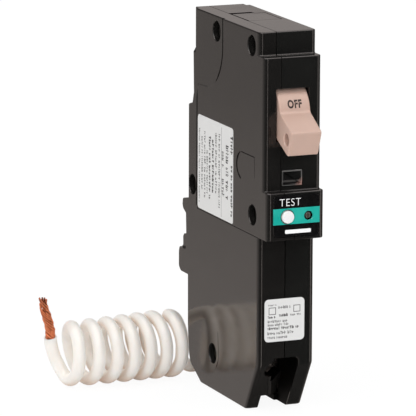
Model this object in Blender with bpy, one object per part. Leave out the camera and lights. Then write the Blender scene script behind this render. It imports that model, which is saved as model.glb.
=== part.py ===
# Plug-on single-pole ground-fault circuit breaker with a coiled neutral pigtail.
# One object per piece.  Drawn in millimetres from the middle of the case and
# moved so that the origin is the centre of the flat rear pad.
# -Y is the front (handle side), +Y the rear (panel side), +Z the line end,
# +X the right side (mechanism), -X the left side (electronics).
import itertools
import math
from collections import namedtuple

import bmesh
import bpy
from mathutils import Matrix, Vector

for old_object in list(bpy.data.objects):
    bpy.data.objects.remove(old_object, do_unlink=True)

# ---------------------------------------------------------------- dimensions
MM = 0.001
CASE_W = 19.05            # 3/4 inch pole pitch
HALF_W = CASE_W / 2
TOP_Z = 60.16
BOTTOM_Z = -TOP_Z
REAR_PAD_Y = 33.8
REAR_PAD_Z = 13.4
ORIGIN = Vector((0.0, REAR_PAD_Y, REAR_PAD_Z))

FRONT_TOP_Y = -24.3       # face above the boss
FRONT_BOSS_Y = -28.5      # face the handle comes out of
FRONT_TEST_Y = -31.3      # face that carries the test plate
FRONT_LOW_Y = -24.0       # face below
BOSS_TOP_Z = 52.9
TEST_TOP_Z = 11.38
TEST_BOTTOM_Z = -3.68
CHAMFER_Z = -44.5         # sloped lower front corner
CHAMFER_Y = -14.6
EDGE_Y = 1.4              # front edge rounding, drawn as a flat chamfer
EDGE_X = 1.5
BASE_WALL_X = 8.0         # inner faces of the side walls
COVER_WALL_X = -7.9
SEAM_UPPER_X = -3.9       # parting plane above SEAM_STEP_Z
SEAM_LOWER_X = -0.2       # parting plane below
SEAM_STEP_Z = 4.0
GAP = 0.3                 # between the case halves, and between pigtail and strands

# Pivots that run along X (y, z)
HUB = (-21.5, 35.0)       # handle pivot
ARM_PIVOT = (-9.5, 30.0)
CRADLE_PIVOT = (12.0, 22.0)
FLAG_PIVOT = (-8.0, 14.5)
LATCH_PIVOT = (-13.5, -18.0)

# Axes that run along Y (x, z)
BUTTON = (-2.74, 3.76)
LED = (4.27, 3.77)
LOAD_SCREW = (2.9, -47.0)
NEUTRAL_SCREW = (-5.4, -46.0)
PIGTAIL_EXIT = (SEAM_LOWER_X, -53.4)

RIVETS = {                # (y, z)
    "top_rear": (10.6, 55.35),
    "top_front": (-18.4, 55.35),
    "mid_front": (-19.6, 2.7),
    "mid_rear": (30.3, 3.1),
    "bottom": (13.0, -48.4),
}

# --------------------------------------------------------------------- looks
Look = namedtuple("Look", "colour roughness metallic", defaults=[0.0])

CASE_PLASTIC = Look(colour=(0.045, 0.042, 0.040), roughness=0.42)
PARTITION_PLASTIC = Look(colour=(0.10, 0.095, 0.09), roughness=0.5)
HANDLE_PLASTIC = Look(colour=(0.62, 0.40, 0.32), roughness=0.42)
TEST_PLATE_GREEN = Look(colour=(0.02, 0.45, 0.36), roughness=0.35)
BUTTON_WHITE = Look(colour=(0.85, 0.85, 0.84), roughness=0.35)
LIGHT_PIPE = Look(colour=(0.10, 0.10, 0.09), roughness=0.2)
LENS = Look(colour=(0.03, 0.03, 0.03), roughness=0.08)
FLAG_RED = Look(colour=(0.75, 0.12, 0.05), roughness=0.4)
LABEL = Look(colour=(0.75, 0.77, 0.77), roughness=0.5)
CHUTE_FIBRE = Look(colour=(0.55, 0.50, 0.42), roughness=0.8)
BOARD_GREEN = Look(colour=(0.03, 0.20, 0.08), roughness=0.5)
SENSOR_BLUE = Look(colour=(0.05, 0.06, 0.20), roughness=0.4)
VARISTOR_BLUE = Look(colour=(0.10, 0.16, 0.45), roughness=0.4)
CAPACITOR_SLEEVE = Look(colour=(0.03, 0.03, 0.10), roughness=0.35)
CHIP_BLACK = Look(colour=(0.02, 0.02, 0.02), roughness=0.4)
WIRE_INSULATION = Look(colour=(0.80, 0.76, 0.70), roughness=0.4)
STEEL = Look(colour=(0.55, 0.55, 0.56), roughness=0.35, metallic=1.0)
COPPER = Look(colour=(0.72, 0.34, 0.18), roughness=0.35, metallic=1.0)
BRASS = Look(colour=(0.75, 0.56, 0.25), roughness=0.35, metallic=1.0)
BIMETAL = Look(colour=(0.60, 0.52, 0.42), roughness=0.35, metallic=1.0)
CONTACT_SILVER = Look(colour=(0.72, 0.72, 0.73), roughness=0.3, metallic=1.0)

SHARP_ANGLE = math.radians(35)


def make_material(name, look):
    material = bpy.data.materials.new(name)
    material.use_nodes = True
    shader = material.node_tree.nodes["Principled BSDF"]
    shader.inputs["Base Color"].default_value = (*look.colour, 1.0)
    shader.inputs["Roughness"].default_value = look.roughness
    shader.inputs["Metallic"].default_value = look.metallic
    material.diffuse_color = (*look.colour, 1.0)
    return material


# ------------------------------------------------------------------- objects
def make_object(name, bm, origin=ORIGIN):
    """Turn millimetre geometry into an object whose origin is at a point."""
    origin = Vector(origin)
    bmesh.ops.transform(bm, matrix=Matrix.Translation(-origin), verts=bm.verts)
    bmesh.ops.scale(bm, vec=(MM, MM, MM), verts=bm.verts)
    bmesh.ops.recalc_face_normals(bm, faces=bm.faces)
    mesh = bpy.data.meshes.new(name)
    bm.to_mesh(mesh)
    bm.free()
    obj = bpy.data.objects.new(name, mesh)
    obj.location = (origin - ORIGIN) * MM
    bpy.context.collection.objects.link(obj)
    return obj


def piece(name, bm, look, origin=ORIGIN):
    """A visible piece with a material of its own name."""
    obj = make_object(name, bm, origin)
    obj.data.materials.append(make_material(name, look))
    obj.data.shade_smooth()
    obj.data.set_sharp_from_angle(angle=SHARP_ANGLE)
    return obj


guide_numbers = itertools.count(1)


def boolean(target, bm, operation):
    number = next(guide_numbers)
    guide = make_object("guide_%03d" % number, bm)
    guide.hide_render = True
    guide.display_type = 'WIRE'
    modifier = target.modifiers.new("b%d" % number, 'BOOLEAN')
    modifier.operation = operation
    modifier.solver = 'EXACT'
    modifier.object = guide


def cut(target, *shapes):
    for bm in shapes:
        boolean(target, bm, 'DIFFERENCE')


def join(target, bm):
    boolean(target, bm, 'UNION')


# -------------------------------------------------------------------- shapes
# Outlines and centres give the two axes across the shape, in x, y, z order.
def place(axis, along, u, v):
    """Point at a distance along an axis and at (u, v) across it."""
    return {'X': (along, u, v), 'Y': (u, along, v), 'Z': (u, v, along)}[axis]


def bridge(bm, rings):
    for ring, following in zip(rings, rings[1:]):
        count = len(ring)
        for i in range(count):
            j = (i + 1) % count
            bm.faces.new((ring[i], ring[j], following[j], following[i]))


def closed_body(bm, rings):
    bm.faces.new(rings[0])
    bm.faces.new(rings[-1])
    bridge(bm, rings)
    return bm


def loft(sections, axis='X'):
    """Closed body through sections (along, outline) of equal length."""
    bm = bmesh.new()
    rings = [[bm.verts.new(place(axis, along, u, v)) for u, v in outline]
             for along, outline in sections]
    return closed_body(bm, rings)


def prism(outline, ends, axis='X'):
    return loft([(end, outline) for end in ends], axis)


def box(x, y, z):
    """Box between two values on each axis."""
    return prism([(y[0], z[0]), (y[1], z[0]), (y[1], z[1]), (y[0], z[1])], x)


def arc(centre, radius, start, end, steps):
    """Points on an arc, in degrees from the first axis towards the second."""
    angles = (math.radians(start + (end - start) * i / steps) for i in range(steps + 1))
    return [(centre[0] + radius * math.cos(angle), centre[1] + radius * math.sin(angle))
            for angle in angles]


def circle(centre, radius, sides):
    return arc(centre, radius, 0.0, 360.0 - 360.0 / sides, sides - 1)


def disc(centre, radius, ends, sides):
    """Round prism along X with a corner on the +Y side."""
    return prism(circle(centre, radius, sides), ends)


def turned(profile, centre, axis, sides, bore=0.0):
    """Solid of revolution; profile is [(along, radius), ...] along the axis."""
    bm = bmesh.new()

    def ring(along, radius):
        angles = (2 * math.pi * (i + 0.5) / sides for i in range(sides))
        return [bm.verts.new(place(axis, along, centre[0] + radius * math.cos(angle),
                                   centre[1] + radius * math.sin(angle)))
                for angle in angles]

    outer = [ring(along, radius) for along, radius in profile]
    bridge(bm, outer)
    first, last = outer[0], outer[-1]
    if bore:
        inner_first = ring(profile[0][0], bore)
        inner_last = ring(profile[-1][0], bore)
        for i in range(sides):
            j = (i + 1) % sides
            bm.faces.new((first[i], first[j], inner_first[j], inner_first[i]))
            bm.faces.new((last[i], last[j], inner_last[j], inner_last[i]))
            bm.faces.new((inner_first[i], inner_first[j], inner_last[j], inner_last[i]))
    else:
        bm.faces.new(first)
        bm.faces.new(last)
    return bm


def rod(centre, radius, ends, axis, sides, bore=0.0):
    """Straight turned rod between two places on its axis."""
    return turned([(end, radius) for end in ends], centre, axis, sides, bore)


def tube(path, radii, sides):
    """Round bar swept along a list of points, with flat ends."""
    bm = bmesh.new()
    across = Vector((1, 0, 0))
    rings = []
    for i, point in enumerate(path):
        tangent = (path[min(i + 1, len(path) - 1)] - path[max(i - 1, 0)]).normalized()
        across = across - tangent * across.dot(tangent)
        across.normalize()
        side = tangent.cross(across)
        angles = (2 * math.pi * k / sides for k in range(sides))
        rings.append([
            bm.verts.new(point + radii[i] * (math.cos(angle) * across + math.sin(angle) * side))
            for angle in angles])
    return closed_body(bm, rings)


def wire(path, radius, sides):
    return tube(path, [radius] * len(path), sides)


def smooth_path(controls, steps):
    """Catmull-Rom curve through control points, with steps per span."""
    inner = [Vector(point) for point in controls]
    points = [inner[0] * 2 - inner[1]] + inner + [inner[-1] * 2 - inner[-2]]
    path = []
    for i in range(1, len(points) - 2):
        p0, p1, p2, p3 = points[i - 1:i + 3]
        for k in range(steps):
            t = k / steps
            path.append(0.5 * ((2 * p1) + (p2 - p0) * t
                               + (2 * p0 - 5 * p1 + 4 * p2 - p3) * t * t
                               + (3 * p1 - p0 - 3 * p2 + p3) * t ** 3))
    path.append(points[-2])
    return path


def rotated(points, centre, degrees):
    angle = math.radians(degrees)
    cos, sin = math.cos(angle), math.sin(angle)
    return [(centre[0] + (y - centre[0]) * cos - (z - centre[1]) * sin,
             centre[1] + (y - centre[0]) * sin + (z - centre[1]) * cos) for y, z in points]


# --------------------------------------------------------------- case halves
# Rear of the case from the top down (y, z)
REAR_OUTLINE = [
    (30.8, TOP_Z), (30.8, 47.5), (30.0, 46.4), (29.6, 33.0), (30.7, 29.5),
    (REAR_PAD_Y, 28.65), (REAR_PAD_Y, -1.9), (38.7, -2.9), (39.1, -5.0),
    (38.3, -6.4), (36.1, -7.4), (35.8, -14.0), (39.5, -14.8), (40.35, -15.8),
    (40.3, -18.6), (41.6, -19.5), (42.1, -21.0), (42.1, -26.0), (40.3, -27.2),
    (34.3, -27.2), (34.2, -43.8), (33.2, -52.5), (31.9, -55.5), (22.9, BOTTOM_Z)]

# Front of the case from the bottom up (y, z)
FRONT_OUTLINE = [
    (CHAMFER_Y, BOTTOM_Z), (FRONT_LOW_Y, CHAMFER_Z), (FRONT_LOW_Y, TEST_BOTTOM_Z),
    (FRONT_TEST_Y, TEST_BOTTOM_Z), (FRONT_TEST_Y, TEST_TOP_Z),
    (FRONT_BOSS_Y, TEST_TOP_Z), (FRONT_BOSS_Y, BOSS_TOP_Z),
    (FRONT_TOP_Y, BOSS_TOP_Z), (FRONT_TOP_Y, TOP_Z)]

# Hollow inside both halves (y, z)
CAVITY = [
    (22.8, 58.5), (22.8, 45.4), (28.2, 45.4), (28.0, 33.2), (28.4, 29.4),
    (29.1, 27.1), (32.2, 27.0), (32.2, -26.0), (32.5, -43.5), (31.5, -52.0),
    (30.5, -54.3), (22.4, -58.5), (-8.0, -58.5), (-8.0, -41.3), (-22.4, -41.3),
    (-22.4, -2.08), (-29.7, -2.08), (-29.7, 9.78), (-26.9, 9.78),
    (-26.9, 51.3), (-22.7, 51.3), (-22.7, 58.5)]

# Load-terminal slot, open at the bottom (x, z)
TERMINAL_SLOT = [
    (-3.5, -42.5), (3.6, -42.5), (4.3, -42.8), (4.5, -43.5), (4.5, -62.0),
    (-5.6, -62.0), (-5.6, -49.0), (-3.5, -49.0)]

# Left side wall outside its raised block (y, z)
LOW_SIDE = [
    (4.9, 62.0), (4.3, 50.4), (4.8, 46.5), (6.4, 43.1), (8.8, 40.5), (11.3, 38.5),
    (16.0, 36.8), (25.3, 36.0), (25.3, -2.6), (24.4, TEST_BOTTOM_Z), (-35.0, TEST_BOTTOM_Z),
    (-35.0, -64.0), (46.0, -64.0), (46.0, 62.0)]
LOW_SIDE_X = (-11.0, -9.2)     # cut that lowers the left side wall

BOSS_R = 4.1                   # rivet boss
BOSS_REAR_Y = 33.0             # the middle rear boss is cut flat inside the rear wall
COUNTERBORE_R = 3.16
COUNTERBORE_FLOOR_X = 7.75
RIVET_HOLE_R = 1.75
WINDOW_Y = (FRONT_BOSS_Y - 3, FRONT_BOSS_Y + 4.0)
SCREW_WAY_Y = (-30.0, -7.0)
WIRE_WAY_Y = (-4.4, 1.2)
WIRE_WAY_Z = (BOTTOM_Z - 2, -57.0)


def case_outline(inset):
    """Side outline of the case; the front faces sit back by inset."""
    return REAR_OUTLINE + [(y + inset, z) for y, z in FRONT_OUTLINE]


def test_plate_holes():
    """Button hole and light-pipe hole."""
    return (rod(BUTTON, 2.35, (-34.0, -27.0), 'Y', 16),
            rod(LED, 1.5, (-34.0, -27.0), 'Y', 12))


def cut_front_openings(case):
    # handle window and trip-flag window
    cut(case, box(x=(-5.4, 5.4), y=WINDOW_Y, z=(27.0, 43.0)),
        box(x=(-3.6, 3.45), y=WINDOW_Y, z=(12.7, 17.9)))
    # pocket and holes for the test plate
    cut(case, box(x=(-7.8, 8.25), y=(FRONT_TEST_Y - 2, FRONT_TEST_Y + 0.6), z=(-2.8, 10.8)),
        *test_plate_holes())
    # front label pocket
    cut(case, box(x=(-7.4, 6.6), y=(FRONT_LOW_Y - 2, FRONT_LOW_Y + 0.45), z=(-37.3, -23.2)))
    cut(case, prism(TERMINAL_SLOT, SCREW_WAY_Y, 'Y'))


def add_rivet_seats(case, side, upper, lower):
    """Bosses with counterbores and through holes."""
    for y, z in RIVETS.values():
        if abs(z - SEAM_STEP_Z) < BOSS_R:
            # beside the seam step: stop at the plane nearer this half's side wall
            end = side * max(side * upper, side * lower)
        else:
            end = upper if z > SEAM_STEP_Z else lower
        outline = [(min(u, BOSS_REAR_Y), v) for u, v in circle((y, z), BOSS_R, 16)]
        join(case, prism(outline, (side * 8.4, end)))
        cut(case, rod((y, z), COUNTERBORE_R,
                      (side * (HALF_W + 1), side * COUNTERBORE_FLOOR_X), 'X', 20),
            rod((y, z), RIVET_HOLE_R, (side * 9.0, end - side * 1.0), 'X', 12))


def case_half(name, side):
    """Features both halves share; side is +1 for the base and -1 for the cover."""
    upper = SEAM_UPPER_X + side * GAP / 2
    lower = SEAM_LOWER_X + side * GAP / 2
    # The body starts at the seam plane that reaches further from its side wall.
    seam, wall = (upper, BASE_WALL_X) if side > 0 else (lower, COVER_WALL_X)
    case = piece(name, loft([(seam, case_outline(0.0)),
                             (side * (HALF_W - EDGE_X), case_outline(0.0)),
                             (side * HALF_W, case_outline(EDGE_Y))]), CASE_PLASTIC)
    cut(case, prism(CAVITY, (seam - side * 1.0, wall)))
    # step in the parting plane
    if side > 0:
        cut(case, box(x=(upper - 2, lower), y=(-35, 45), z=(BOTTOM_Z - 2, SEAM_STEP_Z)))
    else:
        cut(case, box(x=(upper, lower + 2), y=(-35, 45), z=(SEAM_STEP_Z - GAP, TOP_Z + 2)))
    # narrower rear corner of the top
    cut(case, box(x=sorted((side * 8.0, side * 12.0)), y=(24.4, 45), z=(47.0, TOP_Z + 2)))
    add_rivet_seats(case, side, upper, lower)
    cut_front_openings(case)
    # pigtail hole on the parting plane
    cut(case, rod(PIGTAIL_EXIT, 2.4, (20.0, 40.0), 'Y', 12))
    return case


def right_case_base():
    base = case_half("right_case_base", 1)
    # vent pocket for the baffle, with the vent through the top wall
    cut(base, box(x=(-4.5, 7.85), y=(-1.8, 14.3), z=(58.95, TOP_Z + 1)),
        box(x=(-2.0, 6.0), y=(-0.5, 6.3), z=(57.5, 59.4)))
    # bus-stab slot in the rear wall
    cut(base, box(x=(0.7, 3.7), y=(26.0, 36.0), z=(31.3, 45.8)))
    # wire way into the load terminal
    cut(base, box(x=(4.7, 7.6), y=WIRE_WAY_Y, z=WIRE_WAY_Z))


def left_case_cover():
    cover = case_half("left_case_cover", -1)
    # screwdriver way and wire way of the neutral terminal
    cut(cover, rod(NEUTRAL_SCREW, 2.7, SCREW_WAY_Y, 'Y', 16),
        box(x=(-3.7, -0.8), y=WIRE_WAY_Y, z=WIRE_WAY_Z))
    # lower the wall around the raised block, then a shallow label field in the block
    cut(cover, prism(LOW_SIDE, LOW_SIDE_X),
        box(x=LOW_SIDE_X, y=(-4.5, 26.0), z=(-4.5, 27.0)))


def inner_partition():
    """Wall between the mechanism and the electronics."""
    outline = [(-3.4, 51.0), (-2.6, 51.0), (-2.6, 4.8), (1.0, 4.8), (1.0, -38.5),
               (0.2, -38.5), (0.2, 4.0), (-3.4, 4.0)]     # (x, z)
    partition = piece("inner_partition", prism(outline, (-5.5, 26.0), 'Y'), PARTITION_PLASTIC)
    cut(partition, box(x=(-5.0, -1.0), y=(22.4, 28.0), z=(45.0, 53.0)))


def arc_vent_baffle():
    """Slotted plate let into the top."""
    outline = [(-3.4, -1.5), (7.5, -1.5), (7.5, 10.2), (4.5, 10.2), (4.5, 13.9),
               (-3.4, 13.9)]                              # (x, y)
    slots, slot_width, slot_pitch = 4, 0.6, 1.5
    baffle = piece("arc_vent_baffle", prism(outline, (59.25, 60.1), 'Z'), CASE_PLASTIC)
    for k in range(slots):
        y = slot_pitch * k
        cut(baffle, box(x=(-1.8, 5.8), y=(y, y + slot_width), z=(58.0, 62.0)))


def rivets():
    """Head in the left counterbore, formed tail in the right one."""
    profile = [(-8.75, 1.7), (-8.6, 2.3), (-8.05, 2.4), (-8.05, 1.4),
               (8.05, 1.4), (8.05, 2.2), (8.5, 2.1), (8.65, 1.6)]     # (x, radius)
    for key, centre in RIVETS.items():
        piece("rivet_" + key, turned(profile, centre, 'X', 10), STEEL)


def labels():
    piece("side_label", box(x=(-9.62, -9.5), y=(-4.1, 24.95), z=(-3.4, 26.7)), LABEL)
    piece("front_label", box(x=(-7.1, 6.3), y=(FRONT_LOW_Y - 0.05, FRONT_LOW_Y + 0.12),
                             z=(-37.0, -23.5)), LABEL)


right_case_base()
left_case_cover()
inner_partition()
arc_vent_baffle()
rivets()
labels()

# ------------------------------------------------------------ front controls
BUTTON_FACE_Y = -32.3
HUB_R = 9.0
HANDLE_HALF = 5.1


def test_controls():
    plate = piece("test_face_plate",
                  box(x=(-7.5, 7.95), y=(FRONT_TEST_Y - 0.1, FRONT_TEST_Y + 0.3),
                      z=(-2.5, 10.5)), TEST_PLATE_GREEN)
    cut(plate, *test_plate_holes())
    button = [(BUTTON_FACE_Y, 1.6), (-32.0, 2.0), (-29.0, 2.0), (-29.0, 2.8), (-28.3, 2.8),
              (-28.3, 1.2), (-25.4, 1.2)]                 # (y, radius)
    piece("test_button", turned(button, BUTTON, 'Y', 16), BUTTON_WHITE,
          origin=(BUTTON[0], BUTTON_FACE_Y, BUTTON[1]))
    blade = [(-24.3, 1.0), (-24.0, 1.0), (-24.0, 13.2), (-14.5, 13.2),
             (-14.5, 13.6), (-24.3, 13.6)]                # (y, z)
    piece("test_contact_blade", prism(blade, (-5.8, -3.3)), BRASS)
    light_pipe = [(-31.2, 1.1), (-29.3, 1.15), (-29.3, 1.9), (-28.6, 1.9),
                  (-28.6, 1.1), (-25.6, 1.1)]             # (y, radius)
    piece("indicator_light_pipe", turned(light_pipe, LED, 'Y', 12), LIGHT_PIPE)
    piece("trip_window_lens", box(x=(-3.3, 3.15), y=(FRONT_BOSS_Y + 0.1, FRONT_BOSS_Y + 1.0),
                                  z=(13.0, 17.6)), LENS)


def pin(name, pivot, radius, ends):
    piece(name, rod(pivot, radius, ends, 'X', 12), STEEL)


def trip_flag():
    """Curved flag face on a pivoted arm."""
    face = arc(FLAG_PIVOT, 18.0, 151.0, 168.0, 5) + arc(FLAG_PIVOT, 17.2, 168.0, 151.0, 5)
    flag = piece("trip_flag", prism(face, (-2.9, 2.9)), FLAG_RED, origin=(0, *FLAG_PIVOT))
    arm = arc(FLAG_PIVOT, 17.6, 155.0, 162.0, 2) + arc(FLAG_PIVOT, 1.8, 245.0, 432.0, 8)
    join(flag, prism(arm, (-2.9, -1.8)))
    cut(flag, disc(FLAG_PIVOT, 0.95, (-4.0, -1.0), 12))
    pin("trip_flag_pin", FLAG_PIVOT, 0.6, (-3.75, 4.0))


def handle():
    """Off position: round hub with a nose that points down and out."""
    nose = ([(-26.6, 42.45)] + arc(HUB, HUB_R, 130.0, 171.0, 5)[1:]
            + [(-30.6, 35.9), (-39.3, 31.4), (-39.5, 30.8),
               (-36.9, 23.9), (-36.2, 23.5), (-27.9, 27.4)])
    hub_back = arc(HUB, HUB_R, 230.0, 484.0, 20)
    lever = piece("handle", prism(nose + hub_back, (-HANDLE_HALF, HANDLE_HALF)),
                  HANDLE_PLASTIC, origin=(0, *HUB))
    # pivot hole, and a second hole through the nose
    for centre in (HUB, (-35.3, 28.6)):
        cut(lever, disc(centre, 1.9, (-8.0, 8.0), 14))
    # notch at the back of the hub that takes the end of the contact arm
    cut(lever, box(x=(-0.2, 5.0), y=(-16.0, -10.0), z=(30.5, 34.5)))
    pin("handle_pin", HUB, 1.5, (-7.55, 7.7))


test_controls()
trip_flag()
handle()

# --------------------------------------------------------------- switch parts
ARM_OPEN = 19.0                # degrees the contact arm lifts when the handle is off
CONTACT_X = (1.2, 3.8)
MECHANISM_PIN_X = (-2.3, 7.7)  # arm and cradle pins


def contact_arm():
    """Arm and its contact, drawn closed and then lifted."""
    arm = arc(ARM_PIVOT, 2.6, 120.0, 300.0, 8) + [
        (-4.0, 30.4), (9.4, 40.9), (15.0, 41.0), (15.0, 42.4), (8.0, 43.0)]
    obj = piece("contact_arm", prism(rotated(arm, ARM_PIVOT, ARM_OPEN), (1.0, 4.0)),
                COPPER, origin=(0, *ARM_PIVOT))
    cut(obj, disc(ARM_PIVOT, 1.5, (-1.0, 6.0), 14))
    pin("contact_arm_pin", ARM_PIVOT, 1.15, MECHANISM_PIN_X)
    tip = [(9.8, 39.6), (14.4, 39.6), (14.4, 40.65), (9.8, 40.55)]
    piece("moving_contact", prism(rotated(tip, ARM_PIVOT, ARM_OPEN), CONTACT_X),
          CONTACT_SILVER, origin=(0, *ARM_PIVOT))


def line_side():
    """Fixed contact, its strap, and the sprung jaw for the bus stab."""
    piece("fixed_contact", box(x=CONTACT_X, y=(9.8, 14.4), z=(38.35, 39.4)), CONTACT_SILVER)
    piece("line_strap", box(x=(0.9, 4.1), y=(8.0, 18.3), z=(37.0, 38.0)), COPPER)
    jaw = [(0.4, 18.7), (4.0, 18.7), (4.0, 27.9), (3.2, 27.9), (3.2, 19.5),
           (1.2, 19.5), (1.2, 27.9), (0.4, 27.9)]         # (x, y)
    piece("line_jaw", prism(jaw, (31.6, 45.0), 'Z'), COPPER)
    spring = [(-0.5, 17.9), (4.9, 17.9), (4.9, 26.0), (4.35, 26.0), (4.35, 18.4),
              (0.05, 18.4), (0.05, 26.0), (-0.5, 26.0)]   # (x, y)
    piece("jaw_spring", prism(spring, (39.5, 43.5), 'Z'), STEEL)


def arc_chute():
    """Liner and a stack of U-shaped plates, both open to the front."""
    liner = [(-2.2, 3.0), (-1.75, 3.0), (-1.75, 17.9), (6.75, 17.9), (6.75, 3.0),
             (7.2, 3.0), (7.2, 18.35), (-2.2, 18.35)]     # (x, y)
    piece("arc_chute_liner", prism(liner, (44.2, 50.9), 'Z'), CHUTE_FIBRE)
    plate = [(-1.4, 3.2), (0.3, 3.2), (0.3, 14.5), (4.7, 14.5),
             (4.7, 3.2), (6.4, 3.2), (6.4, 17.5), (-1.4, 17.5)]       # (x, y)
    plates, lowest_z, pitch, thickness = 4, 44.6, 1.75, 0.7
    for k in range(plates):
        z = lowest_z + pitch * k
        piece("arc_plate_%d" % (k + 1), prism(plate, (z, z + thickness), 'Z'), STEEL)


def toggle_spring():
    """Coil spring between the arm and the cradle, beside both."""
    turns, steps, coil_radius, wire_radius = 8, 7, 1.1, 0.28
    start, end = Vector((-0.9, 0.5, 37.0)), Vector((-0.9, 5.5, 24.5))
    length = (end - start).length
    axis = (end - start).normalized()
    across = Vector((1, 0, 0))
    side = axis.cross(across)
    count = turns * steps
    path = []
    for i in range(count + 1):
        angle = 2 * math.pi * i / steps
        path.append(start + axis * (length * i / count)
                    + coil_radius * (math.cos(angle) * across + math.sin(angle) * side))
    piece("toggle_spring", wire(path, wire_radius, 5), STEEL)


def cradle():
    outline = arc(CRADLE_PIVOT, 2.8, -60.0, 130.0, 8) + [
        (3.0, 21.6), (-9.0, 11.6), (-12.4, 9.6), (-12.4, 7.4), (-10.2, 7.0),
        (-6.0, 8.6), (4.0, 14.6)]
    obj = piece("cradle", prism(outline, (5.0, 6.2)), STEEL, origin=(0, *CRADLE_PIVOT))
    cut(obj, disc(CRADLE_PIVOT, 1.5, (4.0, 8.0), 14))
    pin("cradle_pin", CRADLE_PIVOT, 1.15, MECHANISM_PIN_X)


def armature():
    outline = arc(LATCH_PIVOT, 1.6, 180.0, 360.0, 6) + [
        (-12.9, -16.0), (-12.9, 9.9), (-10.4, 9.9), (-10.4, 11.0), (-14.0, 11.0),
        (-14.0, -16.4)]
    obj = piece("armature", prism(outline, (1.6, 4.7)), STEEL, origin=(0, *LATCH_PIVOT))
    cut(obj, disc(LATCH_PIVOT, 0.95, (0.0, 6.0), 12))
    pin("armature_pin", LATCH_PIVOT, 0.6, (0.4, 7.7))


def trip_element():
    """Magnet yoke, bimetal with its screw, and the braid to the arm."""
    yoke = [(1.3, -11.2), (2.1, -11.2), (2.1, -5.7), (6.9, -5.7), (6.9, -11.2),
            (7.7, -11.2), (7.7, -4.9), (1.3, -4.9)]       # (x, y)
    piece("magnet_yoke", prism(yoke, (-14.0, -5.0), 'Z'), STEEL)
    piece("bimetal", box(x=(2.6, 6.4), y=(-7.0, -6.2), z=(-30.0, 5.0)), BIMETAL)
    screw = [(-9.8, 1.6), (-8.8, 1.6), (-8.8, 0.9), (-7.3, 0.9)]      # (y, radius)
    piece("calibration_screw", turned(screw, (4.5, -27.0), 'Y', 12), STEEL)
    braid = [(2.5, -7.6, 25.9), (2.5, -4.2, 21.5), (3.0, -3.2, 15.0),
             (3.6, -4.4, 8.5), (4.3, -5.0, 2.0)]
    piece("flexible_braid", wire(smooth_path(braid, 3), 0.85, 6), COPPER)


contact_arm()
line_side()
arc_chute()
toggle_spring()
cradle()
armature()
trip_element()

# ------------------------------------------------------------------ terminals
SCREW_HOLE_R = 1.9
SCREW_HEAD_Y = -7.8


def holed_piece(name, bm, look, centre, hole_y):
    """Strap or clamp with the hole for its terminal screw."""
    cut(piece(name, bm, look), rod(centre, SCREW_HOLE_R, hole_y, 'Y', 14))


def load_straps():
    strap = [(-5.9, -25.5), (-4.9, -25.5), (-4.9, -38.6), (2.4, -38.6),
             (2.4, -56.5), (1.3, -56.5), (1.3, -39.7), (-5.9, -39.7)]     # (y, z)
    hole_y = (-1.0, 5.0)
    holed_piece("load_strap", prism(strap, (1.4, 7.4)), COPPER, LOAD_SCREW, hole_y)
    holed_piece("neutral_load_strap", box(x=(-7.6, -0.9), y=(1.3, 2.4), z=(-56.5, -39.0)),
                COPPER, NEUTRAL_SCREW, hole_y)


def terminal(prefix, centre, clamp_x):
    """Clamp plate and slotted screw."""
    holed_piece(prefix + "_clamp", box(x=clamp_x, y=(-5.4, -4.4), z=(-52.0, -43.2)),
                BRASS, centre, (-8.0, -2.0))
    profile = [(SCREW_HEAD_Y, 1.9), (-7.5, 2.2), (-5.75, 2.2), (-5.75, 1.55), (5.0, 1.55),
               (5.6, 1.0)]                                # (y, radius)
    screw = piece(prefix + "_screw", turned(profile, centre, 'Y', 16), STEEL,
                  origin=(centre[0], SCREW_HEAD_Y, centre[1]))
    x, z = centre
    cut(screw, box(x=(x - 3, x + 3), y=(-9.5, -7.0), z=(z - 0.4, z + 0.4)))


load_straps()
terminal("load_terminal", LOAD_SCREW, (0.7, 7.4))
terminal("neutral_terminal", NEUTRAL_SCREW, (-7.7, -0.9))

# ---------------------------------------------------------------- electronics
SOLENOID = (-3.3, -9.0)        # axis along Y (x, z)


def circuit_board():
    outline = [(-15.5, 6.8), (-15.5, 20.0), (25.5, 20.0), (25.5, -37.0), (-8.0, -37.0),
               (-15.5, -30.0), (-15.5, -2.2), (-14.8, -2.2), (-14.8, 6.8)]    # (y, z)
    piece("circuit_board", prism(outline, (-7.6, -6.4)), BOARD_GREEN)


def current_sensor_ring():
    profile = [(-5.9, 6.8), (-5.6, 7.2), (-1.7, 7.2), (-1.4, 6.8)]    # (x, radius)
    piece("current_sensor_ring", turned(profile, (19.0, -17.0), 'X', 18, bore=3.6), SENSOR_BLUE)


def solenoid():
    piece("solenoid_coil", rod(SOLENOID, 2.6, (1.6, 11.4), 'Y', 14, bore=1.35), COPPER)
    outline = [(0.4, -12.2), (0.4, -5.2), (12.6, -5.2), (12.6, -12.2), (11.8, -12.2),
               (11.8, -6.0), (1.2, -6.0), (1.2, -12.2)]   # (y, z)
    frame = piece("solenoid_frame", prism(outline, (-5.5, -1.1)), STEEL)
    cut(frame, rod(SOLENOID, 1.4, (-1.0, 3.0), 'Y', 12))
    plunger = piece("solenoid_plunger", rod(SOLENOID, 1.0, (-17.1, 9.0), 'Y', 12), STEEL)
    # crossbar on the front end of the plunger
    join(plunger, box(x=(-4.4, 3.4), y=(-17.5, -16.7), z=(-10.0, -8.0)))


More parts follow.
